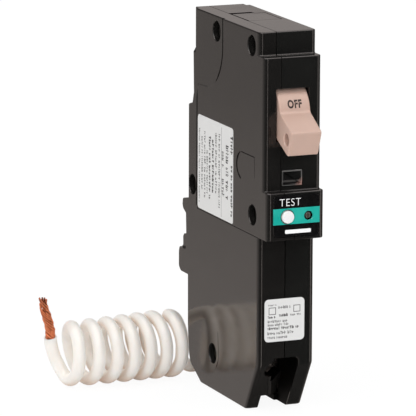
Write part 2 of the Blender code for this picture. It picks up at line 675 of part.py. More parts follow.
def board_components():
    varistor = [(-6.1, 3.6), (-5.8, 4.0), (-3.9, 4.0), (-3.6, 3.6)]   # (x, radius)
    piece("surge_varistor", turned(varistor, (-3.0, -27.0), 'X', 14), VARISTOR_BLUE)
    capacitor = [(-36.5, 2.3), (-36.2, 2.5), (-27.3, 2.5), (-27.0, 2.3)]      # (z, radius)
    piece("filter_capacitor", turned(capacitor, (-3.3, 8.0), 'Z', 14), CAPACITOR_SLEEVE)
    piece("control_chip", box(x=(-6.1, -5.0), y=(4.0, 12.0), z=(8.5, 16.0)), CHIP_BLACK)


circuit_board()
current_sensor_ring()
solenoid()
board_components()

# -------------------------------------------------------------------- pigtail
WIRE_R = 2.06
COIL_TURNS = 6.5               # loose end to the crown next to the case
COIL_STEPS = 16                # per turn
# Polynomials, constant term first, in the turns from the loose end over COIL_SPAN
COIL_SPAN = 7.0
COIL_X = (-51.4, 47.3, -14.0, 5.9)     # turns stand wider apart towards the loose end
COIL_Y = (33.7, -1.0, 1.7)             # middle of the coil, slightly bowed
COIL_R = (8.5, 0.7)                    # slightly wider towards the case
COIL_YAW = (0.0, 0.30, -0.13)          # how far a turn's plane is turned, radians
COIL_LEAN = (0.08, 0.05)               # and leant over

# Control points from inside the case to the coil (x, y, z)
LEAD = [
    (SEAM_LOWER_X, 24.0, -53.4), (SEAM_LOWER_X, 28.7, -53.4), (SEAM_LOWER_X, 33.0, -53.4),
    (-1.0, 36.0, -54.5), (-4.4, 36.6, -57.4), (-7.4, 37.0, -57.9), (-8.8, 39.6, -56.6),
    (-8.1, 41.8, -53.6), (-7.8, 42.3, -50.4), (-8.7, 41.5, -47.0), (-11.1, 39.2, -43.0),
    (-13.7, 36.5, -40.9)]
# From the coil to the end of the insulation
TAIL = [(-52.0, 35.2, -55.4), (-53.2, 36.2, -52.6), (-54.2, 36.5, -49.9),
        (-55.1, 36.4, -46.6), (-55.4, 36.2, -44.2)]
# Bare strands beyond the insulation
STRANDS = [(-56.0, 36.0, -39.6), (-56.8, 36.0, -36.9), (-57.7, 36.0, -33.9),
           (-58.0, 36.0, -31.6)]
STRAND_RADII = [1.4, 1.45, 1.5, 1.45, 1.4, 1.35, 1.3, 1.25, 1.2, 1.0, 0.6]


def polynomial(coefficients, k):
    return sum(a * k ** i for i, a in enumerate(coefficients))


def coil_point(turns):
    """Middle of the wire, counted from the loose end; whole turns touch the floor."""
    k = turns / COIL_SPAN
    radius = polynomial(COIL_R, k)
    yaw = polynomial(COIL_YAW, k)
    lean = polynomial(COIL_LEAN, k)
    near = Vector((math.sin(yaw), -math.cos(yaw), 0.0))
    up = Vector((-math.sin(lean) * math.cos(yaw), -math.sin(lean) * math.sin(yaw),
                 math.cos(lean)))
    centre = Vector((polynomial(COIL_X, k), polynomial(COIL_Y, k),
                     BOTTOM_Z + WIRE_R + radius * math.cos(lean)))
    angle = 2 * math.pi * turns
    return centre + radius * (math.sin(angle) * near - math.cos(angle) * up)


def pigtail():
    last_step = int(COIL_STEPS * COIL_TURNS)
    coil = [coil_point(i / COIL_STEPS) for i in range(last_step, -1, -1)]
    lead = smooth_path(LEAD + [coil[0]], 2)
    tail = smooth_path([coil[-1]] + TAIL, 2)
    piece("neutral_pigtail", wire(lead[:-1] + coil + tail[1:], WIRE_R, 8), WIRE_INSULATION)
    end = tail[-1]
    direction = (end - tail[-2]).normalized()
    strands = smooth_path([end + direction * GAP, end + direction * 2.0] + STRANDS, 2)
    piece("pigtail_conductor", tube(strands, STRAND_RADII, 8), COPPER)


pigtail()
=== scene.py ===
# Plug-on ground-fault breaker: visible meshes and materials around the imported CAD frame.
# Geometry is drawn in millimetres from the middle of the case: x to the right, the front
# towards -y, z up.  It is then moved to the frame's origin, the centre of the rear pad.
import bpy
import bmesh
import math
import random
from mathutils import Matrix, Vector


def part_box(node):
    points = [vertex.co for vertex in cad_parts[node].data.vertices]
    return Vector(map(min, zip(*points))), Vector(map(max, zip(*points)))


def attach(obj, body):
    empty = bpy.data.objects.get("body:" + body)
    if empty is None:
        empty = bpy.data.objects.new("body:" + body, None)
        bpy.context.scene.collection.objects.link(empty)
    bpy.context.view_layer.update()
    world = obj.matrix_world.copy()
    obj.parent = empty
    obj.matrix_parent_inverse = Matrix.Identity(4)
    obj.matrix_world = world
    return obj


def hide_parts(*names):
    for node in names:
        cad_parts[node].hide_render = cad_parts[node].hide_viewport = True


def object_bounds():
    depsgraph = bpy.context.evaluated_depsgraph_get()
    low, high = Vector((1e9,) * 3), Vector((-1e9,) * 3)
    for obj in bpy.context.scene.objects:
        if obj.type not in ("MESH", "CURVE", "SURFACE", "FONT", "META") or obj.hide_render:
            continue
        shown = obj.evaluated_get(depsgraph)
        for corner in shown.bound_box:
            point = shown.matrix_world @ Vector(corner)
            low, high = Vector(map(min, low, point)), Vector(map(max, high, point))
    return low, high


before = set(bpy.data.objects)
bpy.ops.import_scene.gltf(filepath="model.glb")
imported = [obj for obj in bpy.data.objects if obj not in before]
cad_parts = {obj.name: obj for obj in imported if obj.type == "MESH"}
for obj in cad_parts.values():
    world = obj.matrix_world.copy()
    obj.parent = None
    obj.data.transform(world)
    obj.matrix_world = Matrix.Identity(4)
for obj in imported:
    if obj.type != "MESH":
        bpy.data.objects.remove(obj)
CAD_LO, CAD_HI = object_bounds()
random.seed(7)

# ============================================================== driving dimensions
MM = 0.001
case_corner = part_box("right_case_base")[1]
HALF_W = case_corner.x / MM                  # half of the pole pitch
RECESSED_W = 9.2                             # left face of the cover outside its raised block
REAR_PAD_Y = 33.8
FRONT_Y = -24.0                              # front face below the stepped nose
TOP_Z = 60.16
BOT_Z = -TOP_Z
ORIGIN = Vector((0.0, REAR_PAD_Y, TOP_Z - case_corner.z / MM))

SEAM_HI, SEAM_LO, SEAM_Z = -3.9, -0.2, 4.0   # seam x above and below the step at SEAM_Z
SEAM_GAP = 0.05                              # each half stands back this far
BLOCK_Z = -3.68                              # underside of the nose and the raised block
BLOCK_CURVE, BLOCK_CURVE_R = (19.0, 51.0), 14.4

HUB, HUB_R = (-21.5, 35.0), 9.0              # (y, z)
HANDLE_HALF_W = 5.1
BUTTON = (-2.74, 3.76)                       # (x, z), as are the next three
LED = (4.27, 3.77)
SCREW_HOT = (2.9, -47.0)
SCREW_NEU = (-5.4, -46.0)
RIVETS = {"top_rear": (10.6, 55.35), "top_front": (-18.4, 55.35),       # (y, z)
          "mid_front": (-19.6, 2.7), "mid_rear": (30.3, 3.1),
          "bottom": (13.0, -48.4)}

HANDLE_WINDOW = (-5.4, 5.4, 27.0, 43.0)      # x from, x to, z from, z to
LENS = (-3.45, 3.3, 12.85, 17.75)
PLATE = (-7.5, 7.95, -2.5, 10.5)
PLATE_Y = -31.5                              # front face of the test plate

LABEL_X = -(HALF_W + 0.02)
INK_DEPTH = 0.07                             # the print starts this far out from a label's datum
INK_H = 0.012


def frame_y(y):
    """Drawing y in metres from the frame's origin, as shaders see it."""
    return (y - ORIGIN.y) * MM


def frame_z(z):
    return (z - ORIGIN.z) * MM


# ================================================================== object helpers
def solid(name, bm):
    """Turns a drawing in millimetres into an object of the frame."""
    bmesh.ops.recalc_face_normals(bm, faces=bm.faces)
    bmesh.ops.transform(bm, matrix=Matrix.Translation(-ORIGIN), verts=bm.verts)
    bmesh.ops.scale(bm, vec=(MM, MM, MM), verts=bm.verts)
    mesh = bpy.data.meshes.new(name)
    bm.to_mesh(mesh)
    bm.free()
    return link(name, mesh)


def link(name, data):
    ob = bpy.data.objects.new(name, data)
    bpy.context.scene.collection.objects.link(ob)
    return ob


def evaluated_mesh(ob):
    graph = bpy.context.evaluated_depsgraph_get()
    return bpy.data.meshes.new_from_object(ob.evaluated_get(graph), depsgraph=graph)


def carve(ob, *cutters, operation='DIFFERENCE'):
    """Applies one boolean after another."""
    for bm in cutters:
        cutter = solid("tmp_cut", bm)
        boolean = ob.modifiers.new("c", 'BOOLEAN')
        boolean.operation = operation
        boolean.solver = 'MANIFOLD'
        boolean.object = cutter
        mesh = evaluated_mesh(ob)
        ob.modifiers.clear()
        spent = [ob.data, cutter.data]
        ob.data = mesh
        bpy.data.objects.remove(cutter)
        for old in spent:
            bpy.data.meshes.remove(old)


def shade(ob, sharp_deg=32, weighted=True):
    ob.data.shade_smooth()
    ob.data.set_sharp_from_angle(angle=math.radians(sharp_deg))
    if weighted:
        normals = ob.modifiers.new("wn", 'WEIGHTED_NORMAL')
        normals.keep_sharp = True
        normals.weight = 60


def soften(ob, width):
    """Small real radius on every sharp edge."""
    bevel = ob.modifiers.new("bv", 'BEVEL')
    bevel.width = width * MM
    bevel.segments = 2
    bevel.limit_method = 'ANGLE'
    bevel.angle_limit = math.radians(45)
    bevel.use_clamp_overlap = True


def place(ob, body, material, slot, *replaced):
    ob.data.materials.clear()
    ob.data.materials.append(materials[material])
    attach(ob, body)
    if replaced:
        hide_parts(*replaced)


# ================================================================== flat outlines
def rectangle(u0, u1, v0, v1, grow=0.0):
    u0, u1, v0, v1 = u0 - grow, u1 + grow, v0 - grow, v1 + grow
    return [(u0, v0), (u1, v0), (u1, v1), (u0, v1)]


def arc(centre, radius, start, end, steps):
    """Points from one angle to another, in degrees."""
    angles = [math.radians(start + (end - start) * i / steps) for i in range(steps + 1)]
    return [(centre[0] + radius * math.cos(a), centre[1] + radius * math.sin(a)) for a in angles]


def circle(centre, radius, sides=32):
    return arc(centre, radius, 0.0, 360.0 - 360.0 / sides, sides - 1)


def area(points):
    return 0.5 * sum(a[0] * b[1] - b[0] * a[1] for a, b in zip(points, points[1:] + points[:1]))


def inset(points, margin):
    """Mitred inward offset of a closed outline."""
    if margin == 0:
        return list(points)
    turn = 1.0 if area(points) > 0 else -1.0
    out = []
    for i, point in enumerate(points):
        before, here = Vector(points[i - 1]), Vector(point)
        after = Vector(points[(i + 1) % len(points)])
        along_in, along_out = (here - before).normalized(), (after - here).normalized()
        normal_in = Vector((-along_in.y, along_in.x)) * turn
        normal_out = Vector((-along_out.y, along_out.x)) * turn
        mitre = max(0.35, 1 + normal_in.dot(normal_out))
        moved = here + (normal_in + normal_out) * (margin / mitre)
        out.append((moved.x, moved.y))
    return out


def fillet(points, radii, steps=4):
    """Rounds every corner; radii is one number or one for each corner."""
    if not isinstance(radii, list):
        radii = [radii] * len(points)
    out = []
    for i, radius in enumerate(radii):
        here = Vector(points[i])
        back = Vector(points[i - 1]) - here
        ahead = Vector(points[(i + 1) % len(points)]) - here
        back_len, ahead_len = back.length, ahead.length
        back.normalize()
        ahead.normalize()
        corner = math.acos(max(-1, min(1, back.dot(ahead))))
        if corner > math.radians(176):
            # nearly straight: the same number of points, close together on the line
            out += [tuple(here + back * min(0.02, back_len * 0.1) * (1 - j / steps)
                          + ahead * min(0.02, ahead_len * 0.1) * (j / steps))
                    for j in range(steps + 1)]
            continue
        reach = min(radius / math.tan(corner / 2), 0.46 * back_len, 0.46 * ahead_len)
        r = reach * math.tan(corner / 2)
        centre = here + (back + ahead).normalized() * (r / math.sin(corner / 2))
        start = here + back * reach - centre
        end = here + ahead * reach - centre
        sweep = math.atan2(start.x * end.y - start.y * end.x, start.dot(end))
        first = math.atan2(start.y, start.x)
        for j in range(steps + 1):
            angle = first + sweep * j / steps
            out.append((centre.x + r * math.cos(angle), centre.y + r * math.sin(angle)))
    return out


def rounded(stations, steps=4, margin=0):
    """Outline from stations (u, v, corner radius)."""
    points = inset([(u, v) for u, v, r in stations], margin)
    return fillet(points, [r for u, v, r in stations], steps)


# ========================================================================= solids
def spot(axis, along, u, v):
    """Point at `along` on an axis; u and v are the other two coordinates in x, y, z order."""
    return {'X': (along, u, v), 'Y': (u, along, v), 'Z': (u, v, along)}[axis]


def level(points, along, axis):
    return [spot(axis, along, u, v) for u, v in points]


def loft(rings):
    """Capped skin over rings with equal numbers of points."""
    bm = bmesh.new()
    rings = [[bm.verts.new(p) for p in ring] for ring in rings]
    count = len(rings[0])
    for a, b in zip(rings, rings[1:]):
        for i in range(count):
            j = (i + 1) % count
            bm.faces.new((a[i], a[j], b[j], b[i]))
    bm.faces.new(rings[0])
    bm.faces.new(rings[-1])
    return bm


def stack(axis, *levels):
    """Loft through levels (outline, position on the axis)."""
    return loft([level(points, along, axis) for points, along in levels])


def prism(points, start, end, axis='X'):
    return stack(axis, (points, start), (points, end))


def box(x0, x1, y0, y1, z0, z1):
    return prism(rectangle(y0, y1, z0, z1), x0, x1)


def turned(profile, centre, axis, sides=32):
    """Solid of revolution through (along, radius) points; radius 0 closes an end."""
    bm = bmesh.new()

    def vertex(along, radius, i):
        angle = 2 * math.pi * (i + 0.5) / sides
        return bm.verts.new(spot(axis, along, centre[0] + radius * math.cos(angle),
                                 centre[1] + radius * math.sin(angle)))
    rings = [[vertex(along, radius, i) for i in range(sides if radius > 0 else 1)]
             for along, radius in profile]
    for a, b in zip(rings, rings[1:]):
        for i in range(sides):
            j = (i + 1) % sides
            if len(a) == 1:
                bm.faces.new((a[0], b[j], b[i]))
            elif len(b) == 1:
                bm.faces.new((a[i], a[j], b[0]))
            else:
                bm.faces.new((a[i], a[j], b[j], b[i]))
    for ring in (rings[0], rings[-1]):
        if len(ring) > 1:
            bm.faces.new(ring)
    return bm


def tube(path, radius, sides):
    """Round tube whose rings are carried along the path without twisting."""
    points = [Vector(p) for p in path]
    up = Vector((1, 0, 0))
    rings = []
    for i, point in enumerate(points):
        ahead = (points[min(i + 1, len(points) - 1)] - points[max(i - 1, 0)]).normalized()
        up = up - ahead * up.dot(ahead)
        up.normalize()
        side = ahead.cross(up)
        rings.append([point + radius * (math.cos(a) * up + math.sin(a) * side)
                      for a in (2 * math.pi * k / sides for k in range(sides))])
    return loft(rings)


def smooth_path(controls, steps):
    """Catmull-Rom curve through the control points."""
    c = [Vector(p) for p in controls]
    c = [c[0] * 2 - c[1]] + c + [c[-1] * 2 - c[-2]]
    out = []
    for i in range(1, len(c) - 2):
        p0, p1, p2, p3 = c[i - 1:i + 3]
        for k in range(steps):
            t = k / steps
            out.append(0.5 * ((2 * p1) + (p2 - p0) * t + (2 * p0 - 5 * p1 + 4 * p2 - p3) * t * t
                              + (3 * p1 - p0 - 3 * p2 + p3) * t ** 3))
    out.append(c[-2])
    return out


def merge(*parts):
    out = bmesh.new()
    for bm in parts:
        mesh = bpy.data.meshes.new("t")
        bm.to_mesh(mesh)
        bm.free()
        out.from_mesh(mesh)
        bpy.data.meshes.remove(mesh)
    return out


# ================================================================== node helpers
materials = {}


class Graph:
    """Short calls for building a node tree."""

    def __init__(self, tree):
        self.tree = tree

    def feed(self, socket, value):
        """Links an output, or sets a number, a vector or a colour."""
        if isinstance(value, bpy.types.NodeSocket):
            self.tree.links.new(value, socket)
        elif isinstance(value, tuple):
            socket.default_value = (*value, 1)[:len(socket.default_value)]
        else:
            socket.default_value = value

    def new(self, kind, inputs=None, **settings):
        node = self.tree.nodes.new(kind)
        for key, value in settings.items():
            setattr(node, key, value)
        for key, value in (inputs or {}).items():
            self.feed(node.inputs[key], value)
        return node

    def math(self, operation, *values):
        node = self.new("ShaderNodeMath", dict(enumerate(values)), operation=operation)
        return node.outputs[0]

    def times(self, first, *factors):
        for factor in factors:
            first = self.math('MULTIPLY', first, factor)
        return first

    def remap(self, value, span, to=(0.0, 1.0), kind='LINEAR'):
        node = self.new("ShaderNodeMapRange",
                        {"From Min": span[0], "From Max": span[1], "To Min": to[0],
                         "To Max": to[1], "Value": value}, interpolation_type=kind)
        return node.outputs["Result"]

    def mix(self, amount, low, high, kind='RGBA'):
        first, out = {'RGBA': (6, 2), 'FLOAT': (2, 0)}[kind]
        node = self.new("ShaderNodeMix", {0: amount, first: low, first + 1: high}, data_type=kind)
        return node.outputs[out]

    def axes(self, vector):
        return list(self.new("ShaderNodeSeparateXYZ", {0: vector}).outputs)


class Material(Graph):
    """A material under its name in `materials`, textured in object coordinates."""

    def __init__(self, name):
        material = bpy.data.materials.new(name)
        material.use_nodes = True
        materials[name] = material
        super().__init__(material.node_tree)
        self.principled = self.tree.nodes["Principled BSDF"]
        self.coord = self.new("ShaderNodeTexCoord").outputs["Object"]

    def noise(self, scale, detail=3.0, rough=0.55, distortion=0.0):
        if not isinstance(scale, tuple):
            scale = (scale, scale, scale)
        mapping = self.new("ShaderNodeMapping", {"Scale": scale, "Vector": self.coord})
        node = self.new("ShaderNodeTexNoise",
                        {"Vector": mapping.outputs["Vector"], "Scale": 1.0, "Detail": detail,
                         "Roughness": rough, "Distortion": distortion})
        return node.outputs["Fac"]

    def ramp(self, value, stops):
        """stops: (position, colour)"""
        node = self.new("ShaderNodeValToRGB", {"Fac": value})
        elements = node.color_ramp.elements
        while len(elements) < len(stops):
            elements.new(0.5)
        for element, (position, colour) in zip(elements, stops):
            element.position = position
            element.color = (*colour, 1)
        return node.outputs["Color"]

    def bump(self, *layers):
        """layers: (height, strength, distance in mm)"""
        inputs = {}
        for height, strength, distance in layers:
            inputs.update({"Strength": strength, "Distance": distance * MM, "Height": height})
            inputs["Normal"] = self.new("ShaderNodeBump", inputs).outputs["Normal"]
        self.feed(self.principled.inputs["Normal"], inputs["Normal"])

    def edge(self, radius, span):
        """1 on convex and concave edges, 0 on flats; radius in mm."""
        bevel = self.new("ShaderNodeBevel", {"Radius": radius * MM}, samples=4)
        flat = self.new("ShaderNodeNewGeometry")
        dot = self.new("ShaderNodeVectorMath",
                       {0: bevel.outputs["Normal"], 1: flat.outputs["Normal"]},
                       operation='DOT_PRODUCT')
        return self.remap(self.math('SUBTRACT', 1.0, dot.outputs["Value"]), span)

    def occlusion(self, distance, samples):
        """0 in deep corners, 1 in the open; distance in mm."""
        node = self.new("ShaderNodeAmbientOcclusion", {"Distance": distance * MM},
                        samples=samples)
        return node.outputs["AO"]

    def set(self, **inputs):
        for key, value in inputs.items():
            self.feed(self.principled.inputs[key.replace("_", " ")], value)


def srgb(*levels):
    """Linear colour from 0-255 levels."""
    return tuple(v / 12.92 if v <= 0.04045 else ((v + 0.055) / 1.055) ** 2.4
                 for v in (c / 255 for c in levels))


def tone(colour, gain, lift=0.0):
    return tuple(min(1, c * gain + lift) for c in colour)


# ====================================================================== materials
def case_material(name, base, rough):
    """Glossy moulded thermoset: faint mottling, slow sink waves, fine grain, rubbed edges; painted
    shade in corners, grooves, the terminal slot and along the upper left arris.
    """
    mat = Material(name)
    cloud = mat.noise(scale=90, detail=4, rough=0.6)
    fine = mat.noise(scale=2400, detail=2, rough=0.6)
    wave = mat.noise(scale=(70, 22, 55), detail=2, rough=0.5, distortion=0.6)
    smear = mat.noise(scale=(30, 30, 260), detail=4, rough=0.6, distortion=0.8)
    colour = mat.ramp(cloud, [(0.30, tone(base, gain=0.86)), (0.72, tone(base, gain=1.16))])
    patches = mat.remap(mat.noise(scale=420, detail=4, rough=0.7), span=(0.42, 0.70))
    scuff = mat.times(mat.edge(radius=0.22, span=(0.04, 0.40)), patches)
    edge_lightening = 0.25
    colour = mat.mix(mat.times(scuff, edge_lightening), colour, tone(base, gain=4.0, lift=0.02))
    # painted shade: corners and grooves are painted darker and lose gloss
    clear = mat.remap(mat.occlusion(distance=0.9, samples=8), span=(0.36, 0.74))
    # painted shade: the inside of the load-terminal slot, behind the sloping lower front, is painted
    # dark and made dull
    x, y, z = mat.axes(mat.coord)
    slope = mat.times(mat.math('ADD', z, -frame_z(-44.5)), 0.61)
    behind = mat.math('ADD', slope, mat.math('ADD', y, -frame_y(-23.75)))
    from_middle = mat.math('ABSOLUTE', mat.math('ADD', x, 1.2 * MM))
    inside = mat.times(
        mat.math('GREATER_THAN', behind, 0.0),
        mat.math('GREATER_THAN', mat.math('ADD', y, -frame_y(-23.3)), 0.0),
        mat.math('LESS_THAN', z, frame_z(-42.6)),
        mat.math('LESS_THAN', from_middle, 6.3 * MM),
        mat.math('MAXIMUM', mat.math('GREATER_THAN', x, -4.1 * MM),
                 mat.math('LESS_THAN', z, frame_z(-50.6))))
    clear = mat.times(clear, mat.remap(inside, span=(0.0, 1.0), to=(1.0, 0.10)))
    # painted shade: the upper left arris is painted as a dark line, standing in for the dark
    # reflection along it
    arris_painted_dark = mat.times(mat.math('GREATER_THAN', z, frame_z(TOP_Z - 0.42)),
                      mat.math('LESS_THAN', x, -8.9 * MM))
    clear = mat.times(clear, mat.remap(arris_painted_dark, span=(0.0, 1.0), to=(1.0, 0.35)))
    gloss = 0.5
    mat.set(Base_Color=mat.mix(clear, tone(base, gain=0.12), colour),
            Specular_IOR_Level=mat.times(clear, gloss))
    roughness = mat.math('ADD', mat.remap(smear, span=(0.3, 0.75), to=(rough - 0.03, rough + 0.07)),
                         mat.remap(fine, span=(0.3, 0.7), to=(-0.01, 0.015)))
    slot_dulling = mat.times(inside, 0.4)
    mat.set(Roughness=mat.math('ADD', roughness, slot_dulling))
    mat.bump((wave, 0.18, 0.20), (fine, 0.03, 0.006))


def plastic(name, base, rough, variation, sss=0.0, coat=0.0, texture=2000, edge_lightening=0.0, bump=0.06):
    mat = Material(name)
    cloud = mat.noise(scale=110, detail=4, rough=0.55)
    fine = mat.noise(scale=texture, detail=2, rough=0.6)
    colour = mat.ramp(cloud, [(0.30, tone(base, 1 - variation)), (0.70, tone(base, 1 + variation))])
    if edge_lightening:
        # painted highlight with wear: the edges are painted lighter, partly as rubbed wear and
        # partly as a highlight
        rubbed = mat.times(mat.edge(radius=0.35, span=(0.03, 0.35)), edge_lightening)
        colour = mat.mix(rubbed, colour, tone(base, gain=1.35, lift=0.03))
    mat.set(Base_Color=colour, Coat_Weight=coat,
            Roughness=mat.remap(fine, span=(0.3, 0.7), to=(rough - 0.04, rough + 0.05)))
    if sss:
        mat.set(Subsurface_Weight=sss, Subsurface_Scale=0.8 * MM,
                Subsurface_Radius=(1.0, 0.6, 0.4))
    mat.bump((fine, bump, 0.012))


def metal(name, base, rough, tarnish=0.15, spots=None):
    """Brushed metal; spots is the colour of dark patches."""
    mat = Material(name)
    grain = mat.noise(scale=(4000, 300, 4000), detail=3, rough=0.6)
    stain = mat.noise(scale=260, detail=5, rough=0.65, distortion=0.3)
    colour = mat.ramp(stain, [(0.35, tone(base, 1 - tarnish)), (0.7, base)])
    if spots:
        patches = mat.noise(scale=700, detail=5, rough=0.7)
        colour = mat.mix(mat.remap(patches, span=(0.55, 0.75), to=(0.0, 0.7)), colour, spots)
    mat.set(Base_Color=colour, Metallic=1.0,
            Roughness=mat.remap(grain, span=(0.3, 0.7), to=(rough - 0.07, rough + 0.1)))
    mat.bump((grain, 0.12, 0.01))


def wire_material():
    """Waxy white insulation, painted warmer where the turns shade each other, with handling scuffs
    and a painted glow.
    """
    mat = Material("wire_insulation")
    cloud = mat.noise(scale=120, detail=4, rough=0.6)
    ao = mat.occlusion(distance=6.0, samples=6)
    colour = mat.ramp(cloud, [(0.3, srgb(232, 228, 222)), (0.7, srgb(239, 236, 231))])
    colour = mat.mix(mat.remap(ao, span=(0.62, 0.20)), colour, srgb(230, 209, 192))
    nicks = mat.noise(scale=(900, 900, 260), detail=5, rough=0.72, distortion=0.5)
    zones = mat.noise(scale=60, detail=2, rough=0.5)
    flecks = mat.times(mat.remap(nicks, span=(0.66, 0.72), to=(0.0, 0.55)),
                       mat.remap(zones, span=(0.52, 0.62)))
    colour = mat.mix(flecks, colour, srgb(206, 178, 158))
    # painted light: a little glow in the open, more of it in reflections
    glossy = mat.new("ShaderNodeLightPath").outputs["Is Glossy Ray"]
    glow = mat.times(glossy, mat.remap(ao, span=(0.40, 0.85), to=(0.0, 0.42)))
    glow = mat.math('ADD', glow, mat.remap(ao, span=(0.30, 0.75), to=(0.02, 0.085)))
    satin = mat.noise(scale=800, detail=3, rough=0.6)
    mat.set(Base_Color=colour,
            Roughness=mat.remap(satin, span=(0.3, 0.7), to=(0.30, 0.42)),
            Subsurface_Weight=0.55, Subsurface_Scale=1.6 * MM,
            Subsurface_Radius=(1.0, 0.86, 0.72),
            Emission_Color=mat.mix(glossy, (1.0, 0.95, 0.91), (1.0, 0.80, 0.66)),
            Emission_Strength=glow)
    mat.bump((mat.noise(scale=(500, 500, 120), detail=4, rough=0.65), 0.12, 0.06),
             (mat.noise(scale=2600, detail=2, rough=0.6), 0.05, 0.01))


def strand_material():
    """Bright drawn copper, painted dark between the strands as shade, oxidised at the cut tips."""
    mat = Material("copper_strand")
    ao = mat.occlusion(distance=0.7, samples=8)
    stain = mat.noise(scale=(420, 420, 200), detail=5, rough=0.65, distortion=0.3)
    colour = mat.ramp(stain, [(0.32, (0.60, 0.16, 0.06)), (0.62, (0.90, 0.30, 0.14)),
                              (0.8, (0.98, 0.44, 0.25))])
    # painted shade: near-black between the strands
    colour = mat.mix(mat.remap(ao, span=(0.80, 0.42)), colour, (0.10, 0.018, 0.008))
    z = mat.axes(mat.coord)[2]
    tip = mat.remap(z, span=(frame_z(-34.0), frame_z(-31.6)), to=(0.0, 0.75))
    drawn = mat.noise(scale=(900, 900, 300), detail=3, rough=0.6)
    mat.set(Base_Color=mat.mix(tip, colour, (0.20, 0.05, 0.025)), Metallic=0.6,
            Roughness=mat.remap(drawn, span=(0.3, 0.7), to=(0.32, 0.5)))
    mat.bump((mat.noise(scale=(1500, 1500, 400), detail=3, rough=0.6), 0.2, 0.02))


def plate_material():
    """Black glossy face plate with a printed teal stripe across it."""
    mat = Material("test_plate")
    z = mat.axes(mat.coord)[2]
    stripe = mat.times(mat.math('GREATER_THAN', z, frame_z(1.45)),
                       mat.math('LESS_THAN', z, frame_z(6.45)))
    teal = mat.ramp(mat.noise(scale=160, detail=3, rough=0.5),
                    [(0.3, srgb(12, 164, 151)), (0.7, srgb(40, 178, 163))])
    black = mat.ramp(mat.noise(scale=140, detail=3, rough=0.5),
                     [(0.3, srgb(8, 8, 9)), (0.7, srgb(16, 16, 17))])
    satin = mat.noise(scale=1500, detail=2, rough=0.6)
    mat.set(Base_Color=mat.mix(stripe, black, teal), Coat_Weight=0.25,
            Roughness=mat.remap(satin, span=(0.3, 0.7), to=(0.16, 0.24)))
    mat.bump((mat.noise(scale=1600, detail=2, rough=0.6), 0.05, 0.01))


def lens_material():
    """Smoked pane with its rim painted light as a highlight, and its lower right corner painted warm
    as a reflection of the handle.
    """
    mat = Material("smoked_lens")
    haze = mat.noise(scale=260, detail=3, rough=0.6)
    x, y, z = mat.axes(mat.coord)
    top = mat.math('GREATER_THAN', z, frame_z(17.28))
    bottom = mat.math('LESS_THAN', z, frame_z(13.20))
    left = mat.math('LESS_THAN', x, -3.05 * MM)
    right = mat.math('GREATER_THAN', x, 2.86 * MM)
    bottom_share, left_share = 0.75, 0.45
    # painted highlight: the rim is painted light, fully at the top and right, less at the bottom and
    # least at the left
    border = mat.math('MAXIMUM',
                      mat.math('MAXIMUM', top, mat.times(bottom, bottom_share)),
                      mat.math('MAXIMUM', mat.times(left, left_share), right))
    # x minus z grows towards the lower right corner
    corner = mat.remap(mat.math('SUBTRACT', x, z), span=(-frame_z(12.5), -frame_z(10.9)),
                       to=(0.0, 0.75))
    grit = mat.noise(scale=1500, detail=2, rough=0.5)
    # painted reflection: the lower right corner is tinted warm as the tan handle reflected in the
    # pane
    warm = mat.times(corner, mat.remap(grit, span=(0.35, 0.65), to=(0.4, 1.0)))
    band = mat.times(mat.remap(z, span=(frame_z(14.7), frame_z(14.45))),
                     mat.remap(z, span=(frame_z(13.9), frame_z(14.15))))
    colour = mat.ramp(haze, [(0.3, srgb(14, 14, 14)), (0.7, srgb(26, 26, 26))])
    # (mask, strength, colour)
    for mask, strength, tint in ((band, 0.6, srgb(92, 90, 88)), (border, 0.8, srgb(112, 111, 110))):
        colour = mat.mix(mat.times(mask, strength), colour, tint)
    satin = mat.noise(scale=900, detail=3, rough=0.6)
    mat.set(Base_Color=mat.mix(warm, colour, srgb(196, 150, 138)),
            Roughness=mat.remap(satin, span=(0.3, 0.7), to=(0.05, 0.11)),
            Transmission_Weight=0.12, IOR=1.49, Coat_Weight=0.5, Coat_Roughness=0.05)
    mat.bump((mat.noise(scale=420, detail=2, rough=0.5), 0.15, 0.03))


# name, sRGB levels, roughness
for name, levels, rough in (("case_cover_plastic", (26, 25, 24), 0.13),
                            ("case_base_plastic", (24, 24, 23), 0.14),
                            ("partition_plastic", (26, 26, 25), 0.38)):
    case_material(name, srgb(*levels), rough)

# name, sRGB levels, roughness, variation of brightness, other settings
for name, levels, rough, variation, others in (
        ("handle_plastic", (196, 166, 152), 0.36, 0.035, dict(sss=0.12, edge_lightening=0.75)),
        ("handle_print", (46, 30, 26), 0.6, 0.2, {}),
        ("plate_print", (244, 245, 245), 0.45, 0.03, {}),
        ("button_plastic", (236, 234, 235), 0.30, 0.02, dict(sss=0.15)),
        ("flag_plastic", (196, 64, 30), 0.45, 0.06, {}),
        ("label_film", (221, 221, 220), 0.42, 0.015, dict(texture=900)),
        ("label_ink", (70, 68, 68), 0.6, 0.15, {}),
        ("label_ink_dark", (38, 37, 37), 0.6, 0.15, {}),
        ("pipe_plastic", (70, 66, 60), 0.12, 0.1, dict(coat=0.4)),
        ("fibre_sheet", (176, 160, 132), 0.8, 0.12, dict(texture=1200, bump=0.3)),
        ("circuit_board", (34, 92, 52), 0.45, 0.10, dict(coat=0.2)),
        ("sensor_ring", (40, 52, 96), 0.45, 0.15, {}),
        ("varistor_dip", (60, 86, 150), 0.35, 0.10, {}),
        ("capacitor_sleeve", (26, 28, 54), 0.3, 0.1, {}),
        ("chip_package", (26, 26, 27), 0.5, 0.15, {})):
    plastic(name, srgb(*levels), rough, variation, **others)

metal("zinc_steel", (0.60, 0.60, 0.62), rough=0.32)
metal("dark_steel", (0.16, 0.155, 0.15), rough=0.42, tarnish=0.3)
